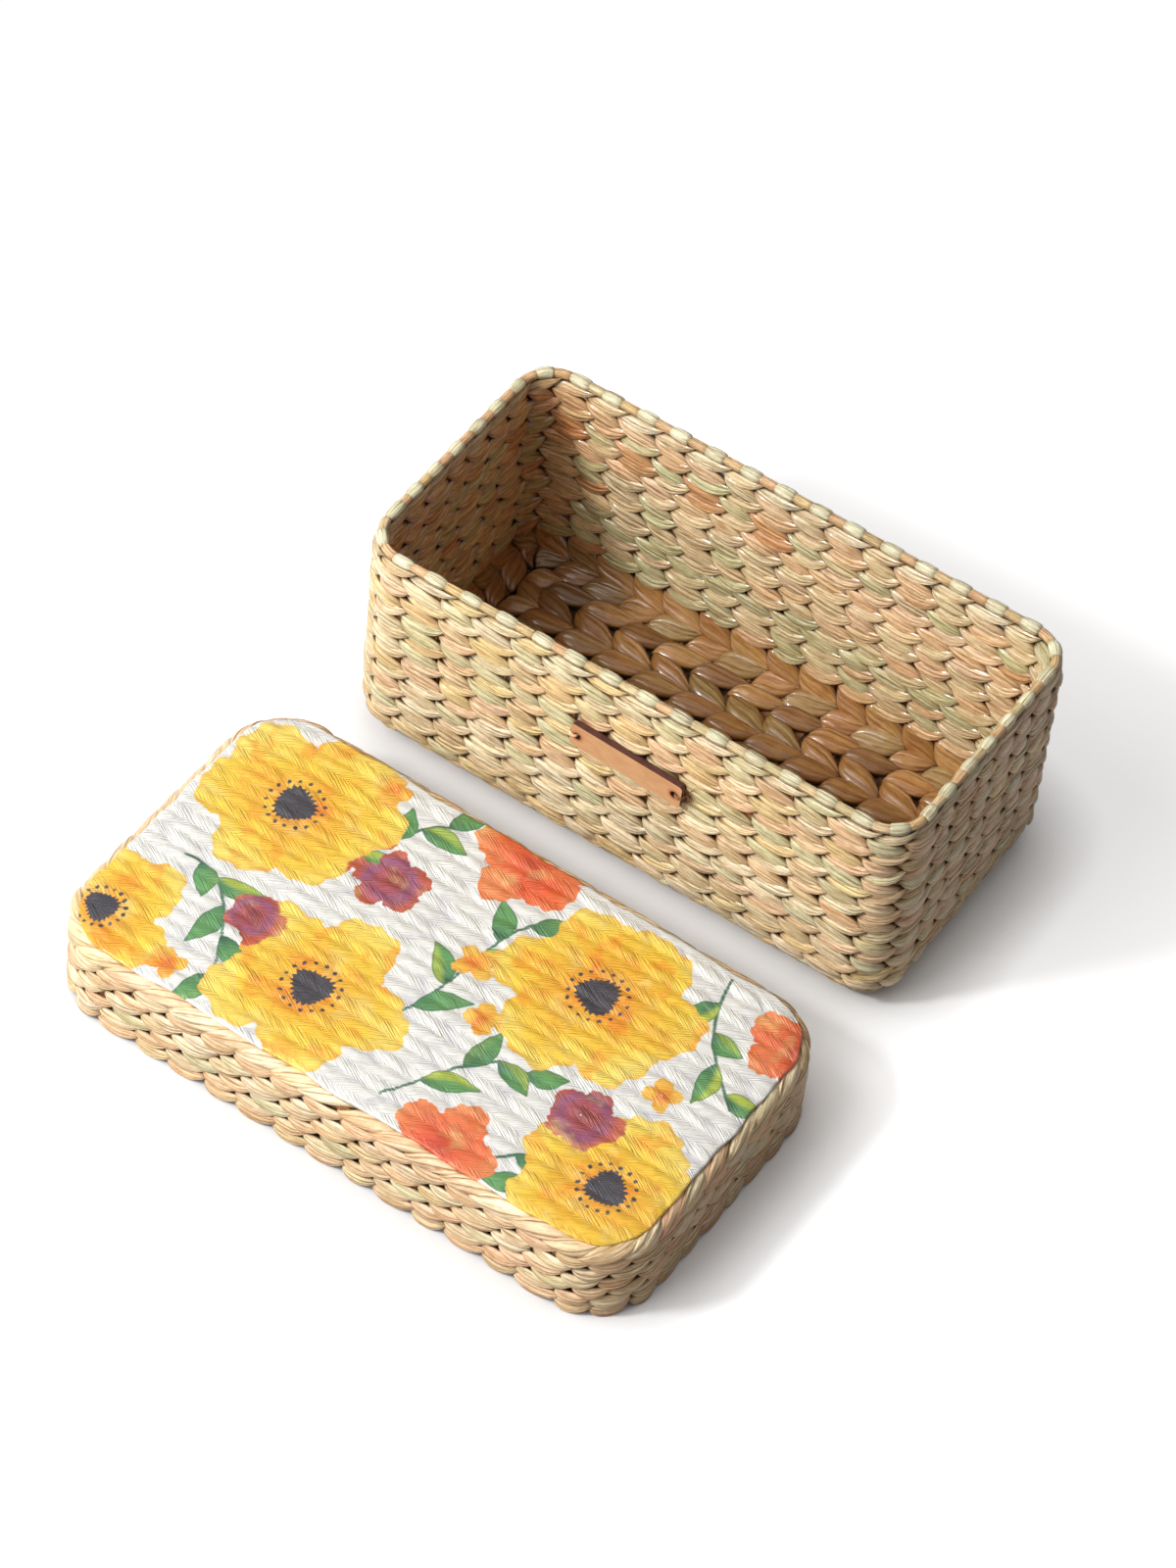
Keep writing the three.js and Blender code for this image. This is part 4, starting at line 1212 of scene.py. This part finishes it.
def paintSprigs(x, y, rng, layers):
    setup = sprigSetup
    t = np.linspace(0, 1, setup["points"])[:, None]
    for first, second, third, last, leaves in printSetup["sprigs"]:
        points = np.array([first, second, third, last], dtype=float)
        path = ((1 - t) ** 3 * points[0] + 3 * (1 - t) ** 2 * t * points[1]
                + 3 * (1 - t) * t ** 2 * points[2] + t ** 3 * points[3])
        away = np.min([np.hypot(x - px, y - py) for px, py in path], axis=0)
        layers["stemEdge"] = np.maximum(layers["stemEdge"], setup["stemRadius"] - away)
        for index in range(leaves):
            spot = int((index + setup["firstLeaf"]) / leaves * (setup["points"] - 2))
            ahead = path[spot + 1] - path[spot]
            side = 1 if index % 2 else -1
            aim = math.atan2(ahead[1], ahead[0]) + side * rng.uniform(*setup["leafAim"])
            length = setup["leafLength"] * rng.uniform(*setup["leafSizes"])
            dx, dy = x - path[spot, 0], y - path[spot, 1]
            along = (dx * math.cos(aim) + dy * math.sin(aim)) / length
            bend = setup["leafBend"] * side * np.sin(math.pi * along)
            across = dy * math.cos(aim) - dx * math.sin(aim) + bend
            inside = np.clip(along, 0, 1)
            plump = np.sin(math.pi * inside ** setup["leafFoot"]) ** setup["leafTip"]
            half = setup["leafWidth"] * plump + setup["leafMargin"]
            edge = half - np.abs(across) - setup["leafEnd"] * np.abs(along - inside)
            isOn = edge > layers["leafEdge"]
            layers["leafEdge"] = np.maximum(layers["leafEdge"], edge)
            leaf = np.stack([inside, across / setup["leafWidth"], rng.random() + 0 * x], axis=-1)
            layers["leafPlace"][isOn] = leaf[isOn]


def buildSheet(setup):
    rng = np.random.default_rng(setup["seed"])
    columns = int(2 * setup["halfX"] / setup["spacing"])
    rows = int(2 * setup["halfY"] / setup["spacing"])
    u = np.linspace(-1, 1, columns)[None, :]
    w = np.linspace(-1, 1, rows)[:, None]
    straight = setup["halfY"] - setup["radius"]
    beyond = np.clip(np.abs(w) * setup["halfY"] - straight, 0, setup["radius"])
    cut = setup["radius"] - np.sqrt(setup["radius"] ** 2 - beyond ** 2)
    x = u * (setup["halfX"] - cut) + 0 * w
    y = w * setup["halfY"] + 0 * u
    power, (endRun, sideRun) = setup["raggedPower"], setup["raggedRuns"]
    x = x + u * np.abs(u) ** power * setup["ragged"] * ripples(x, y, endRun, rng)
    y = y + w * np.abs(w) ** power * setup["ragged"] * ripples(x, y, sideRun, rng)
    relief, rising = stitchRelief(x, y, setup, rng)
    inside = roundedInside(x, y, setup)
    drop = setup["edgeDrop"] * np.clip(1 - inside / setup["edgeRun"], 0, 1) ** 2
    creases = setup["wrinkle"] * ripples(x, setup["wrinkleStretch"] * y, setup["wrinkleRun"], rng)
    creases = creases + setup["wave"] * ripples(x, y, setup["waveRun"], rng)
    pushed = setup["relief"] * relief * np.clip(setup["edgeRelief"] + inside / setup["reliefRun"], 0, 1)
    z = setup["level"] + pushed + creases - drop
    edges = ("bloomEdge", "heartEdge", "leafEdge", "stemEdge")
    layers = {name: np.full(x.shape, printSetup["outside"]) for name in edges}
    layers["bloomLobe"] = np.full(x.shape, printSetup["noLobe"])
    layers["bloomColour"] = np.ones(x.shape + (3,))
    layers["bloomSpoke"], layers["leafPlace"] = np.zeros((2,) + x.shape + (3,))
    paintSprigs(x, y, rng, layers)
    paintBlossoms(x, y, rng, layers)
    top = onLid(stack(x, y, z)).reshape(-1, 3)
    number = np.arange(rows * columns).reshape(rows, columns)
    corners = (number[:-1, :-1], number[:-1, 1:], number[1:, 1:], number[1:, :-1])
    quads = np.stack(corners, axis=-1).reshape(-1, 4)
    border = np.concatenate([number[0, :-1], number[:-1, -1], number[-1, :0:-1], number[:0:-1, 0]])
    low = rows * columns + np.arange(len(border))
    sides = np.stack([border, low, np.roll(low, -1), np.roll(border, -1)], axis=1)
    bottom = top[border].copy()
    bottom[:, 2] = setup["base"]
    loops = np.concatenate([quads.ravel(), sides.ravel(), low[::-1]])
    sizes = np.concatenate([np.full(len(quads) + len(sides), 4), [len(low)]])
    body = {"verts": np.concatenate([top, bottom]), "loops": loops, "sizes": sizes}
    mesh = sharedMesh("print_sheet", [body])

    def full(values):
        flat = values.reshape(rows * columns, -1)
        return np.concatenate([flat, flat[border]])

    layers["hollowShade"], layers["rising"] = 1 - relief, rising
    for name in ("hollowShade", "rising", "bloomLobe") + edges:
        setNumbers(mesh, name, full(layers[name])[:, 0])
    setColours(mesh, "bloomColour", full(layers["bloomColour"]))
    setVectors(mesh, "bloomSpoke", full(layers["bloomSpoke"]))
    setVectors(mesh, "leafPlace", full(layers["leafPlace"]))
    addPiece("print_sheet", mesh, printMaterial(paintSetup), "lid", ["lid_print"])


# Each noise has its scale, detail and roughness. Each range has the values between which its
# effect comes in, and then its weakest and strongest where these aren't 0 and 1. A cover has how
# far its edge wanders and how soft it is.
paintSetup = {
    "wander": (0.45, 3.0, 0.6), "wash": (0.07, 3.0, 0.55), "speck": (2.6, 2.0, 0.6),
    "streak": (3.2, 3.0, 0.6), "crease": (0.8, 3.0, 0.6), "wanderWidth": 2.4,
    "stemCover": (0.25, 0.3), "leafCover": (0.4, 0.25), "bloomCover": (1.0, 0.3), "heartCover": (0.7, 0.25),
    "hollowShadeWash": (0.3, 0.7, 0.6, 1.0), "hollowShadeRange": (0.4, 1.0), "hollowShadeShare": 0.5, "hollowShadeTint": (0.82, 0.8, 0.84),
    "leafRun": (0.4, 1.1), "leafSide": (-0.2, 0.5), "leafChance": (0.2, 0.8), "leafRim": (1.1, 0.1, 0.0, 0.6),
    "streakRange": (0.5, 0.75, 0.0, 0.45), "streakTint": (0.97, 0.78, 0.45),
    "goldRange": (0.52, 0.68, 0.0, 0.8), "goldShare": 0.4, "gold": (0.99, 0.84, 0.3),
    "ruddyRange": (0.48, 0.34, 0.0, 0.8), "ruddyTint": (0.98, 0.62, 0.3),
    "lobeWander": 0.8, "bloomRim": (1.8, 0.2), "lobeRim": (2.2, 0.3), "rimShare": 0.45,
    "rimTint": (0.94, 0.66, 0.36), "inkRange": (0.55, 0.8), "paleInk": linear(120, 112, 118),
    "risingRange": (0.3, 0.7), "creaseX": (0.2, 0.12), "creaseY": (1.6, 0.9),
    "creaseShadeRange": (0.5, 0.3, 0.0, 0.25), "creaseShadeTint": (0.8, 0.78, 0.8),
    "paperTone": (0.87, 0.87, 0.87), "gloss": (0.35, 0.65, 0.34, 0.5), "bump": 0.0011,
    "coat": 0.35, "coatRoughness": 0.16,
}


# Creases in the paper lean with the stitches under it
def paperCrease(desk, x, y, paint):
    (straightX, slantX), (straightY, slantY) = paint["creaseX"], paint["creaseY"]
    leaning = []
    for lean in (1, -1):
        grainX = desk.math("MULTIPLY_ADD", x, straightX, desk.math("MULTIPLY", y, lean * slantX))
        grainY = desk.math("MULTIPLY_ADD", y, straightY, desk.math("MULTIPLY", x, lean * slantY))
        value = desk.noise(desk.join(grainX, grainY, 0.0), *paint["crease"])
        leaning.append(desk.join(value, value, value))
    rising = desk.ramp(desk.attribute("rising"), *paint["risingRange"])
    return desk.mix(rising, *leaning)


def bloomPaint(desk, bloomEdge, wander, wash, hollowShading, paint):
    bloom = desk.attribute("bloomColour", "Color")
    streak = desk.noise(desk.attribute("bloomSpoke", "Vector"), *paint["streak"])
    bloom = desk.tinted(desk.ramp(streak, *paint["streakRange"]), bloom, paint["streakTint"])
    golden = desk.mix(paint["goldShare"], bloom, paint["gold"])
    bloom = desk.mix(desk.ramp(wash, *paint["goldRange"]), bloom, golden)
    bloom = desk.tinted(desk.ramp(wash, *paint["ruddyRange"]), bloom, paint["ruddyTint"])
    lobe = desk.math("MULTIPLY_ADD", wander, paint["lobeWander"], desk.attribute("bloomLobe"))
    rim = desk.math("MAXIMUM", desk.ramp(bloomEdge, *paint["bloomRim"]), desk.ramp(lobe, *paint["lobeRim"]))
    bloom = desk.tinted(desk.math("MULTIPLY", rim, paint["rimShare"]), bloom, paint["rimTint"])
    return desk.tinted(desk.math("MULTIPLY", hollowShading, paint["hollowShadeShare"]), bloom, paint["hollowShadeTint"])


def leafPaint(desk, leafEdge, wash, paint):
    run, side, chance = desk.split(desk.attribute("leafPlace", "Vector"))[:3]
    isLighter = desk.ramp(desk.math("ADD", run, wash), *paint["leafRun"])
    leaf = desk.mix(isLighter, printColours["leafDark"], printColours["leafMiddle"])
    isPaleSide, isPaleLeaf = desk.ramp(side, *paint["leafSide"]), desk.ramp(chance, *paint["leafChance"])
    leaf = desk.mix(desk.math("MULTIPLY", isPaleSide, isPaleLeaf), leaf, printColours["leafPale"])
    return desk.mix(desk.ramp(leafEdge, *paint["leafRim"]), leaf, printColours["leafDark"])


# Watercolour: each shape has a wandering edge with a darker rim, and streaks run out from the
# middle of a blossom
def printMaterial(paint):
    desk = NodeDesk("printed sheet")
    place = desk.millimetres()
    x, y = desk.split(place)[:2]
    width = paint["wanderWidth"]
    wander = desk.math("MULTIPLY_ADD", desk.noise(place, *paint["wander"]), width, -width / 2)
    wash, speck = desk.noise(place, *paint["wash"]), desk.noise(place, *paint["speck"])

    def cover(name, wanderShare, soft):
        edge = desk.math("MULTIPLY_ADD", wander, wanderShare, desk.attribute(name))
        return desk.ramp(edge, -soft, soft), edge

    # Painted shade: low places of the sheet between the stitches are painted lavender grey, unevenly by the
    # wash, and blossoms over them are tinted greyer too
    hollowShade = desk.math("MULTIPLY", desk.attribute("hollowShade"), desk.ramp(wash, *paint["hollowShadeWash"]))
    hollowShading = desk.ramp(hollowShade, *paint["hollowShadeRange"])
    colour = desk.mix(hollowShading, printColours["paper"], printColours["hollowShade"])
    stemOn = cover("stemEdge", *paint["stemCover"])[0]
    colour = desk.mix(stemOn, colour, printColours["stem"])
    leafOn, leafEdge = cover("leafEdge", *paint["leafCover"])
    colour = desk.mix(leafOn, colour, leafPaint(desk, leafEdge, wash, paint))
    bloomOn, bloomEdge = cover("bloomEdge", *paint["bloomCover"])
    colour = desk.mix(bloomOn, colour, bloomPaint(desk, bloomEdge, wander, wash, hollowShading, paint))
    heartOn = cover("heartEdge", *paint["heartCover"])[0]
    ink = desk.mix(desk.ramp(speck, *paint["inkRange"]), printColours["heart"], paint["paleInk"])
    colour = desk.mix(heartOn, colour, ink)
    crease = paperCrease(desk, x, y, paint)
    # Painted shade: the valleys of the creases are tinted lavender grey
    colour = desk.tinted(desk.ramp(crease, *paint["creaseShadeRange"]), colour, paint["creaseShadeTint"])
    shader = desk.principled(**{
        "Base Color": desk.mix(1.0, colour, paint["paperTone"], "MULTIPLY"),
        "Roughness": desk.ramp(wash, *paint["gloss"]),
        "Normal": desk.bump(crease, paint["bump"]),
    })
    shader.inputs["Coat Weight"].default_value = paint["coat"]
    shader.inputs["Coat Roughness"].default_value = paint["coatRoughness"]
    return desk.material


buildLidTopWeave(lidTopSetup)
buildSheet(sheetSetup)
print("lid top laid")

# Tag and ties

tagSetup = {
    "x": 5.2, "z": 70.9, "turn": 2.7, "holeX": 22.55,
    "face": linear(206, 160, 116), "grain": linear(188, 138, 96), "burn": linear(66, 34, 28),
    "paleBurn": linear(92, 52, 42), "scorch": linear(176, 92, 44),
    "fibre": (2.2, 3.0, 0.6), "cloud": (0.15, 2.0, 0.5), "alongShare": 0.1,
    "fibreRange": (0.4, 0.7, 0.0, 0.7), "cloudRange": (0.45, 0.65, 0.0, 0.4),
    "scorchRange": (3.6, 1.5, 0.0, 0.9), "burnRange": (2.0, 1.5), "sideRange": (0.7, 0.6),
    "sideFibre": (0.35, 0.65), "gloss": (0.3, 0.7, 0.5, 0.65), "bump": 0.00008,
}


# Thin wood cut by a laser: burnt sides and scorched holes
def tagMaterial(setup):
    desk = NodeDesk("tag wood")
    x, y, z = desk.split(desk.millimetres())[:3]
    turn = math.radians(setup["turn"])
    cosine, sine = math.cos(turn), math.sin(turn)
    dx, dz = desk.math("SUBTRACT", x, setup["x"]), desk.math("SUBTRACT", z, setup["z"])
    run = desk.math("SUBTRACT", desk.math("MULTIPLY", dx, cosine), desk.math("MULTIPLY", dz, sine))
    rise = desk.math("ADD", desk.math("MULTIPLY", dx, sine), desk.math("MULTIPLY", dz, cosine))
    fromHole = desk.math("SUBTRACT", desk.math("ABSOLUTE", run), setup["holeX"])
    squares = (desk.math("MULTIPLY", fromHole, fromHole), desk.math("MULTIPLY", rise, rise))
    away = desk.math("SQRT", desk.math("ADD", *squares))
    slow = desk.math("MULTIPLY", run, setup["alongShare"])
    fibre = desk.noise(desk.join(slow, rise, y), *setup["fibre"])
    cloud = desk.noise(desk.join(run, rise, y), *setup["cloud"])
    colour = desk.mix(desk.ramp(fibre, *setup["fibreRange"]), setup["face"], setup["grain"])
    colour = desk.mix(desk.ramp(cloud, *setup["cloudRange"]), colour, setup["grain"])
    colour = desk.mix(desk.ramp(away, *setup["scorchRange"]), colour, setup["scorch"])
    colour = desk.mix(desk.ramp(away, *setup["burnRange"]), colour, setup["burn"])
    facing = desk.split(desk.add("ShaderNodeNewGeometry").outputs["Normal"])[1]
    isSide = desk.ramp(desk.math("ABSOLUTE", facing), *setup["sideRange"])
    side = desk.mix(desk.ramp(fibre, *setup["sideFibre"]), setup["burn"], setup["paleBurn"])
    desk.principled(**{
        "Base Color": desk.mix(isSide, colour, side),
        "Roughness": desk.ramp(fibre, *setup["gloss"]),
        "Normal": desk.bump(fibre, setup["bump"]),
    })
    return desk.material


threadSetup = {
    "alongShare": 0.5, "acrossShare": 2.0, "fibre": (2.0, 2.0, 0.5), "fibreRange": (0.35, 0.65),
    "steps": 18, "around": 6, "sideways": (0.31, 0.23, 0.92),
}


def threadMaterial(finish, setup):
    desk = NodeDesk(finish["name"])
    along, across, seed = desk.split(desk.attribute("reedPlace", "Vector"))[:3]
    along = desk.math("MULTIPLY", along, setup["alongShare"])
    across = desk.math("MULTIPLY", across, setup["acrossShare"])
    fibre = desk.noise(desk.join(along, across, seed), *setup["fibre"])
    colour = desk.mix(desk.ramp(fibre, *setup["fibreRange"]), finish["dark"], finish["pale"])
    desk.principled(**{"Base Color": colour, "Roughness": finish["roughness"]})
    return desk.material


# Thin round fibres, each along its own smooth path and closed at both ends. No path runs the
# sideways way, so a ring of points can always be set out from it.
def fibreTubes(paths, radii, setup):
    steps, around = setup["steps"], setup["around"]
    t = np.linspace(0, 1, steps + 1)
    turn = np.linspace(0, 2 * math.pi, around, endpoint=False)[None, :, None]
    quads, caps = tubeFaces(steps, around)
    loops, sizes = repeatedFaces(quads, caps, (steps + 1) * around, 1)
    parts = []
    for number, (path, (thick, thin)) in enumerate(zip(paths, radii)):
        length = np.concatenate([[0], np.cumsum(np.linalg.norm(np.diff(path, axis=0), axis=1))])
        spine = np.stack([np.interp(t * length[-1], length, path[:, k]) for k in range(3)], axis=1)
        spine[1:-1] = (spine[:-2] + 2 * spine[1:-1] + spine[2:]) / 4
        ahead = np.gradient(spine, axis=0)
        ahead /= np.linalg.norm(ahead, axis=1)[:, None]
        first = np.cross(ahead, setup["sideways"])
        first /= np.linalg.norm(first, axis=1)[:, None]
        second = np.cross(ahead, first)
        radius = (thick + (thin - thick) * t)[:, None, None]
        verts = spine[:, None] + radius * (first[:, None] * np.cos(turn) + second[:, None] * np.sin(turn))
        place = stack(t[:, None] * length[-1], np.arange(around)[None] / around, float(number))
        parts.append({
            "verts": verts.reshape(-1, 3), "loops": loops, "sizes": sizes, "place": place.reshape(-1, 3),
        })
    return parts


# Radii are a fibre's at its root and its tip. The spreads say how far apart the threads of a tie
# lie at each point of their way.
tieSetup = {
    "wallY": -62.4, "backY": -64.65, "frontY": -68.3, "endX": 26.9, "seed": 970,
    "bend": 0.7, "holeBend": 0.2, "endBend": 0.5, "spread": 0.75,
    "spreads": (0.3, 0.4, 0.5, 0.8, 1.0, 0.9, 0.5), "threadRadii": (0.26, 0.26),
    "frayLength": (2.5, 6.5), "frayAim": 1.9, "frayX": (-0.6, 0.4), "frayY": (-66.5, -63.8),
    "frayZ": (-2.8, 2.8), "frayForward": (-0.55, 0.05), "frayBend": 0.35, "frayPoints": 5,
    "frayRadii": (0.2, 0.06),
    "left": {
        "threads": 3, "frayed": 0, "name": "pale thread", "pale": linear(240, 222, 186),
        "dark": linear(196, 160, 116), "roughness": 0.4,
    },
    "right": {
        "threads": 3, "frayed": 16, "name": "frayed fibre", "pale": linear(172, 122, 78),
        "dark": linear(84, 50, 32), "roughness": 0.55,
    },
}


def onTag(points):
    points = np.array(points, dtype=float)
    turn = math.radians(tagSetup["turn"])
    x = tagSetup["x"] + points[:, 0] * math.cos(turn) + points[:, 2] * math.sin(turn)
    z = tagSetup["z"] - points[:, 0] * math.sin(turn) + points[:, 2] * math.cos(turn)
    return np.stack([x, points[:, 1], z], axis=1)


# Each thread comes out of the wall through the hole and goes back round the tag's end
def tieThread(side, spread, setup):
    hole, end = side * tagSetup["holeX"], side * setup["endX"]
    wall, back, front = setup["wallY"], setup["backY"], setup["frontY"]
    bend = front + setup["bend"]
    bendX, endX = hole + side * setup["holeBend"], end - side * setup["endBend"]
    levels = [spread * share for share in setup["spreads"]]
    return onTag(list(zip(
        (hole, hole, bendX, (hole + end) / 2, endX, end, end),
        (wall, back, bend, front, bend, back, wall),
        levels,
    )))


# A broken fibre springs out at the tag's end
def frayedFibre(setup, rng):
    aim, length = rng.uniform(-setup["frayAim"], setup["frayAim"]), rng.uniform(*setup["frayLength"])
    rootX = setup["endX"] + rng.uniform(*setup["frayX"])
    root = np.array([rootX, rng.uniform(*setup["frayY"]), rng.uniform(*setup["frayZ"])])
    way = np.array([math.cos(aim), rng.uniform(*setup["frayForward"]), math.sin(aim)])
    bend = rng.normal(0, setup["frayBend"], 3)
    bend[1] = -abs(bend[1])
    shares = np.linspace(0, 1, setup["frayPoints"])
    return onTag([root + length * (share * way + share ** 2 * bend) for share in shares])


def buildTies(setup):
    rng = np.random.default_rng(setup["seed"])
    for name, side in (("left", -1), ("right", 1)):
        tie = setup[name]
        spreads = np.linspace(-setup["spread"], setup["spread"], tie["threads"])
        paths = [tieThread(side, spread, setup) for spread in spreads]
        paths += [frayedFibre(setup, rng) for _ in range(tie["frayed"])]
        radii = [setup["threadRadii"]] * tie["threads"] + [setup["frayRadii"]] * tie["frayed"]
        tubes = fibreTubes(paths, radii, threadSetup)
        mesh = sharedMesh("tie_threads_" + name, tubes)
        setVectors(mesh, "reedPlace", np.concatenate([part["place"] for part in tubes]))
        material = threadMaterial(tie, threadSetup)
        addPiece("tie_threads_" + name, mesh, material, "box", ["tag_tie_" + name])


buildTies(tieSetup)
print("tag tied")

# Stakes and other solids keep their shape and get a finish

stakeSetup = {
    "acrossScale": 2200, "alongScale": 40, "fibre": (1.0, 3.0, 0.6), "fibreRange": (0.35, 0.65),
    "dark": linear(92, 52, 28), "pale": linear(176, 118, 66), "roughness": 0.62, "bump": 0.0002,
}


def stakeMaterial(setup):
    desk = NodeDesk("stake reed")
    x, y, z = desk.split(desk.add("ShaderNodeTexCoord").outputs["Object"])[:3]
    x, y = desk.math("MULTIPLY", x, setup["acrossScale"]), desk.math("MULTIPLY", y, setup["acrossScale"])
    z = desk.math("MULTIPLY", z, setup["alongScale"])
    fibre = desk.noise(desk.join(x, y, z), *setup["fibre"])
    desk.principled(**{
        "Base Color": desk.mix(desk.ramp(fibre, *setup["fibreRange"]), setup["dark"], setup["pale"]),
        "Roughness": setup["roughness"],
        "Normal": desk.bump(fibre, setup["bump"]),
    })
    return desk.material


def paintNodes(names, material):
    for name in names:
        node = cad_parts[name]
        node.data.materials.clear()
        node.data.materials.append(material)


stakes = [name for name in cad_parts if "stake" in name]
paintNodes(stakes, stakeMaterial(stakeSetup))
paintNodes(["wall_tag"], tagMaterial(tagSetup))

# Ground, lights and world

lightSetup = {
    "key": {"place": (-900, -1160, 1200), "size": 1840, "power": 35.6},
    "spark": {"place": (-760, -1060, 1240), "size": 240, "power": 18.0},
    "target": (0, -90, 40),
    "worldLow": 0.02,
    "worldHigh": 0.31,
    "worldTint": (1.0, 0.9, 0.85, 1.0),
}


def addArea(name, setup, target):
    data = bpy.data.lights.new(name, "AREA")
    data.shape = "DISK"
    data.size = setup["size"] * mm
    data.energy = setup["power"]
    lamp = bpy.data.objects.new(name, data)
    place = Vector(setup["place"]) * mm
    lamp.location = place
    lamp.rotation_euler = (Vector(target) * mm - place).to_track_quat("-Z", "Y").to_euler()
    bpy.context.scene.collection.objects.link(lamp)


# The sky is dimmer towards the horizon, so undersides of strands stay dark on the shadow side
def buildWorld(low, high, tint):
    world = bpy.data.worlds.new("studio")
    world.use_nodes = True
    bpy.context.scene.world = world
    tree = world.node_tree
    tree.nodes.clear()
    output = tree.nodes.new("ShaderNodeOutputWorld")
    path = tree.nodes.new("ShaderNodeLightPath")
    height = tree.nodes.new("ShaderNodeSeparateXYZ")
    tree.links.new(tree.nodes.new("ShaderNodeTexCoord").outputs["Generated"], height.inputs[0])
    level = tree.nodes.new("ShaderNodeMapRange")
    tree.links.new(height.outputs["Z"], level.inputs["Value"])
    level.inputs["To Min"].default_value = low
    level.inputs["To Max"].default_value = high
    fill = tree.nodes.new("ShaderNodeBackground")
    tree.links.new(level.outputs["Result"], fill.inputs["Strength"])
    fill.inputs["Color"].default_value = tint
    seen = tree.nodes.new("ShaderNodeBackground")
    seen.inputs["Strength"].default_value = 1.0
    seen.inputs["Color"].default_value = (1, 1, 1, 1)
    mix = tree.nodes.new("ShaderNodeMixShader")
    white = path.outputs["Is Camera Ray"]
    for ray in ("Is Glossy Ray", "Is Transmission Ray"):
        either = tree.nodes.new("ShaderNodeMath")
        either.operation = "MAXIMUM"
        tree.links.new(white, either.inputs[0])
        tree.links.new(path.outputs[ray], either.inputs[1])
        white = either.outputs[0]
    tree.links.new(white, mix.inputs[0])
    tree.links.new(fill.outputs[0], mix.inputs[1])
    tree.links.new(seen.outputs[0], mix.inputs[2])
    tree.links.new(mix.outputs[0], output.inputs["Surface"])


# The ground is pure white from whiteTo on, counted from its middle. Nearer, it takes the lamps' shadows, and
# the glow it shows the camera there is dimmed by ambient occlusion close to the objects, as a painted contact
# shadow.
groundSetup = {
    "halfSize": 4000, "drop": 0.6, "middle": (0, -90, 0), "whiteFrom": 260, "whiteTo": 620,
    "seenTone": 0.62, "openLift": 0.62, "paintedShadowReach": 35, "paintedShadowPower": 2.4, "paintedShadowSamples": 12,
    "bounceColour": (0.42, 0.35, 0.3),
}


def buildGround(setup):
    half = setup["halfSize"] * mm
    mesh = bpy.data.meshes.new("ground")
    corners = [(-half, -half, 0), (half, -half, 0), (half, half, 0), (-half, half, 0)]
    mesh.from_pydata(corners, [], [(0, 1, 2, 3)])
    ground = bpy.data.objects.new("ground", mesh)
    ground.location.z = -setup["drop"] * mm
    bpy.context.scene.collection.objects.link(ground)
    desk = NodeDesk("ground white")
    place = desk.add("ShaderNodeTexCoord").outputs["Object"]
    shift = desk.add("ShaderNodeVectorMath", operation="SUBTRACT")
    desk.feed(shift.inputs[0], place)
    shift.inputs[1].default_value = Vector(setup["middle"]) * mm
    span = desk.add("ShaderNodeVectorMath", operation="LENGTH")
    desk.feed(span.inputs[0], shift.outputs[0])
    away = desk.ramp(span.outputs["Value"], setup["whiteFrom"] * mm, setup["whiteTo"] * mm)
    path = desk.add("ShaderNodeLightPath").outputs
    mirrored = desk.math("MAXIMUM", path["Is Glossy Ray"], path["Is Transmission Ray"])
    camera = desk.math("MAXIMUM", path["Is Camera Ray"], mirrored)
    paper = desk.add("ShaderNodeBsdfDiffuse")
    desk.feed(paper.inputs["Color"], desk.mix(camera, setup["bounceColour"], (setup["seenTone"],) * 3))
    glow = desk.add("ShaderNodeEmission")
    glow.inputs["Strength"].default_value = 1.0
    # Painted contact shadow: ambient occlusion dims the camera-seen glow near the objects
    openness = desk.add("ShaderNodeAmbientOcclusion", samples=setup["paintedShadowSamples"])
    openness.inputs["Distance"].default_value = setup["paintedShadowReach"] * mm
    clear = desk.math("POWER", openness.outputs["AO"], setup["paintedShadowPower"])
    lift = desk.add("ShaderNodeEmission")
    seenLift = desk.math("MULTIPLY", camera, setup["openLift"])
    desk.feed(lift.inputs["Strength"], desk.math("MULTIPLY", clear, seenLift))
    lifted = desk.add("ShaderNodeAddShader")
    desk.wire(paper.outputs[0], lifted.inputs[0])
    desk.wire(lift.outputs[0], lifted.inputs[1])
    mixed = desk.add("ShaderNodeMixShader")
    desk.wire(desk.math("MULTIPLY", away, camera), mixed.inputs[0])
    desk.wire(lifted.outputs[0], mixed.inputs[1])
    desk.wire(glow.outputs[0], mixed.inputs[2])
    desk.wire(mixed.outputs[0], desk.output.inputs["Surface"])
    mesh.materials.append(desk.material)


addArea("key", lightSetup["key"], lightSetup["target"])
addArea("spark", lightSetup["spark"], lightSetup["target"])
buildWorld(lightSetup["worldLow"], lightSetup["worldHigh"], lightSetup["worldTint"])
buildGround(groundSetup)
bpy.context.scene.view_settings.view_transform = "Standard"
print("stage lit")
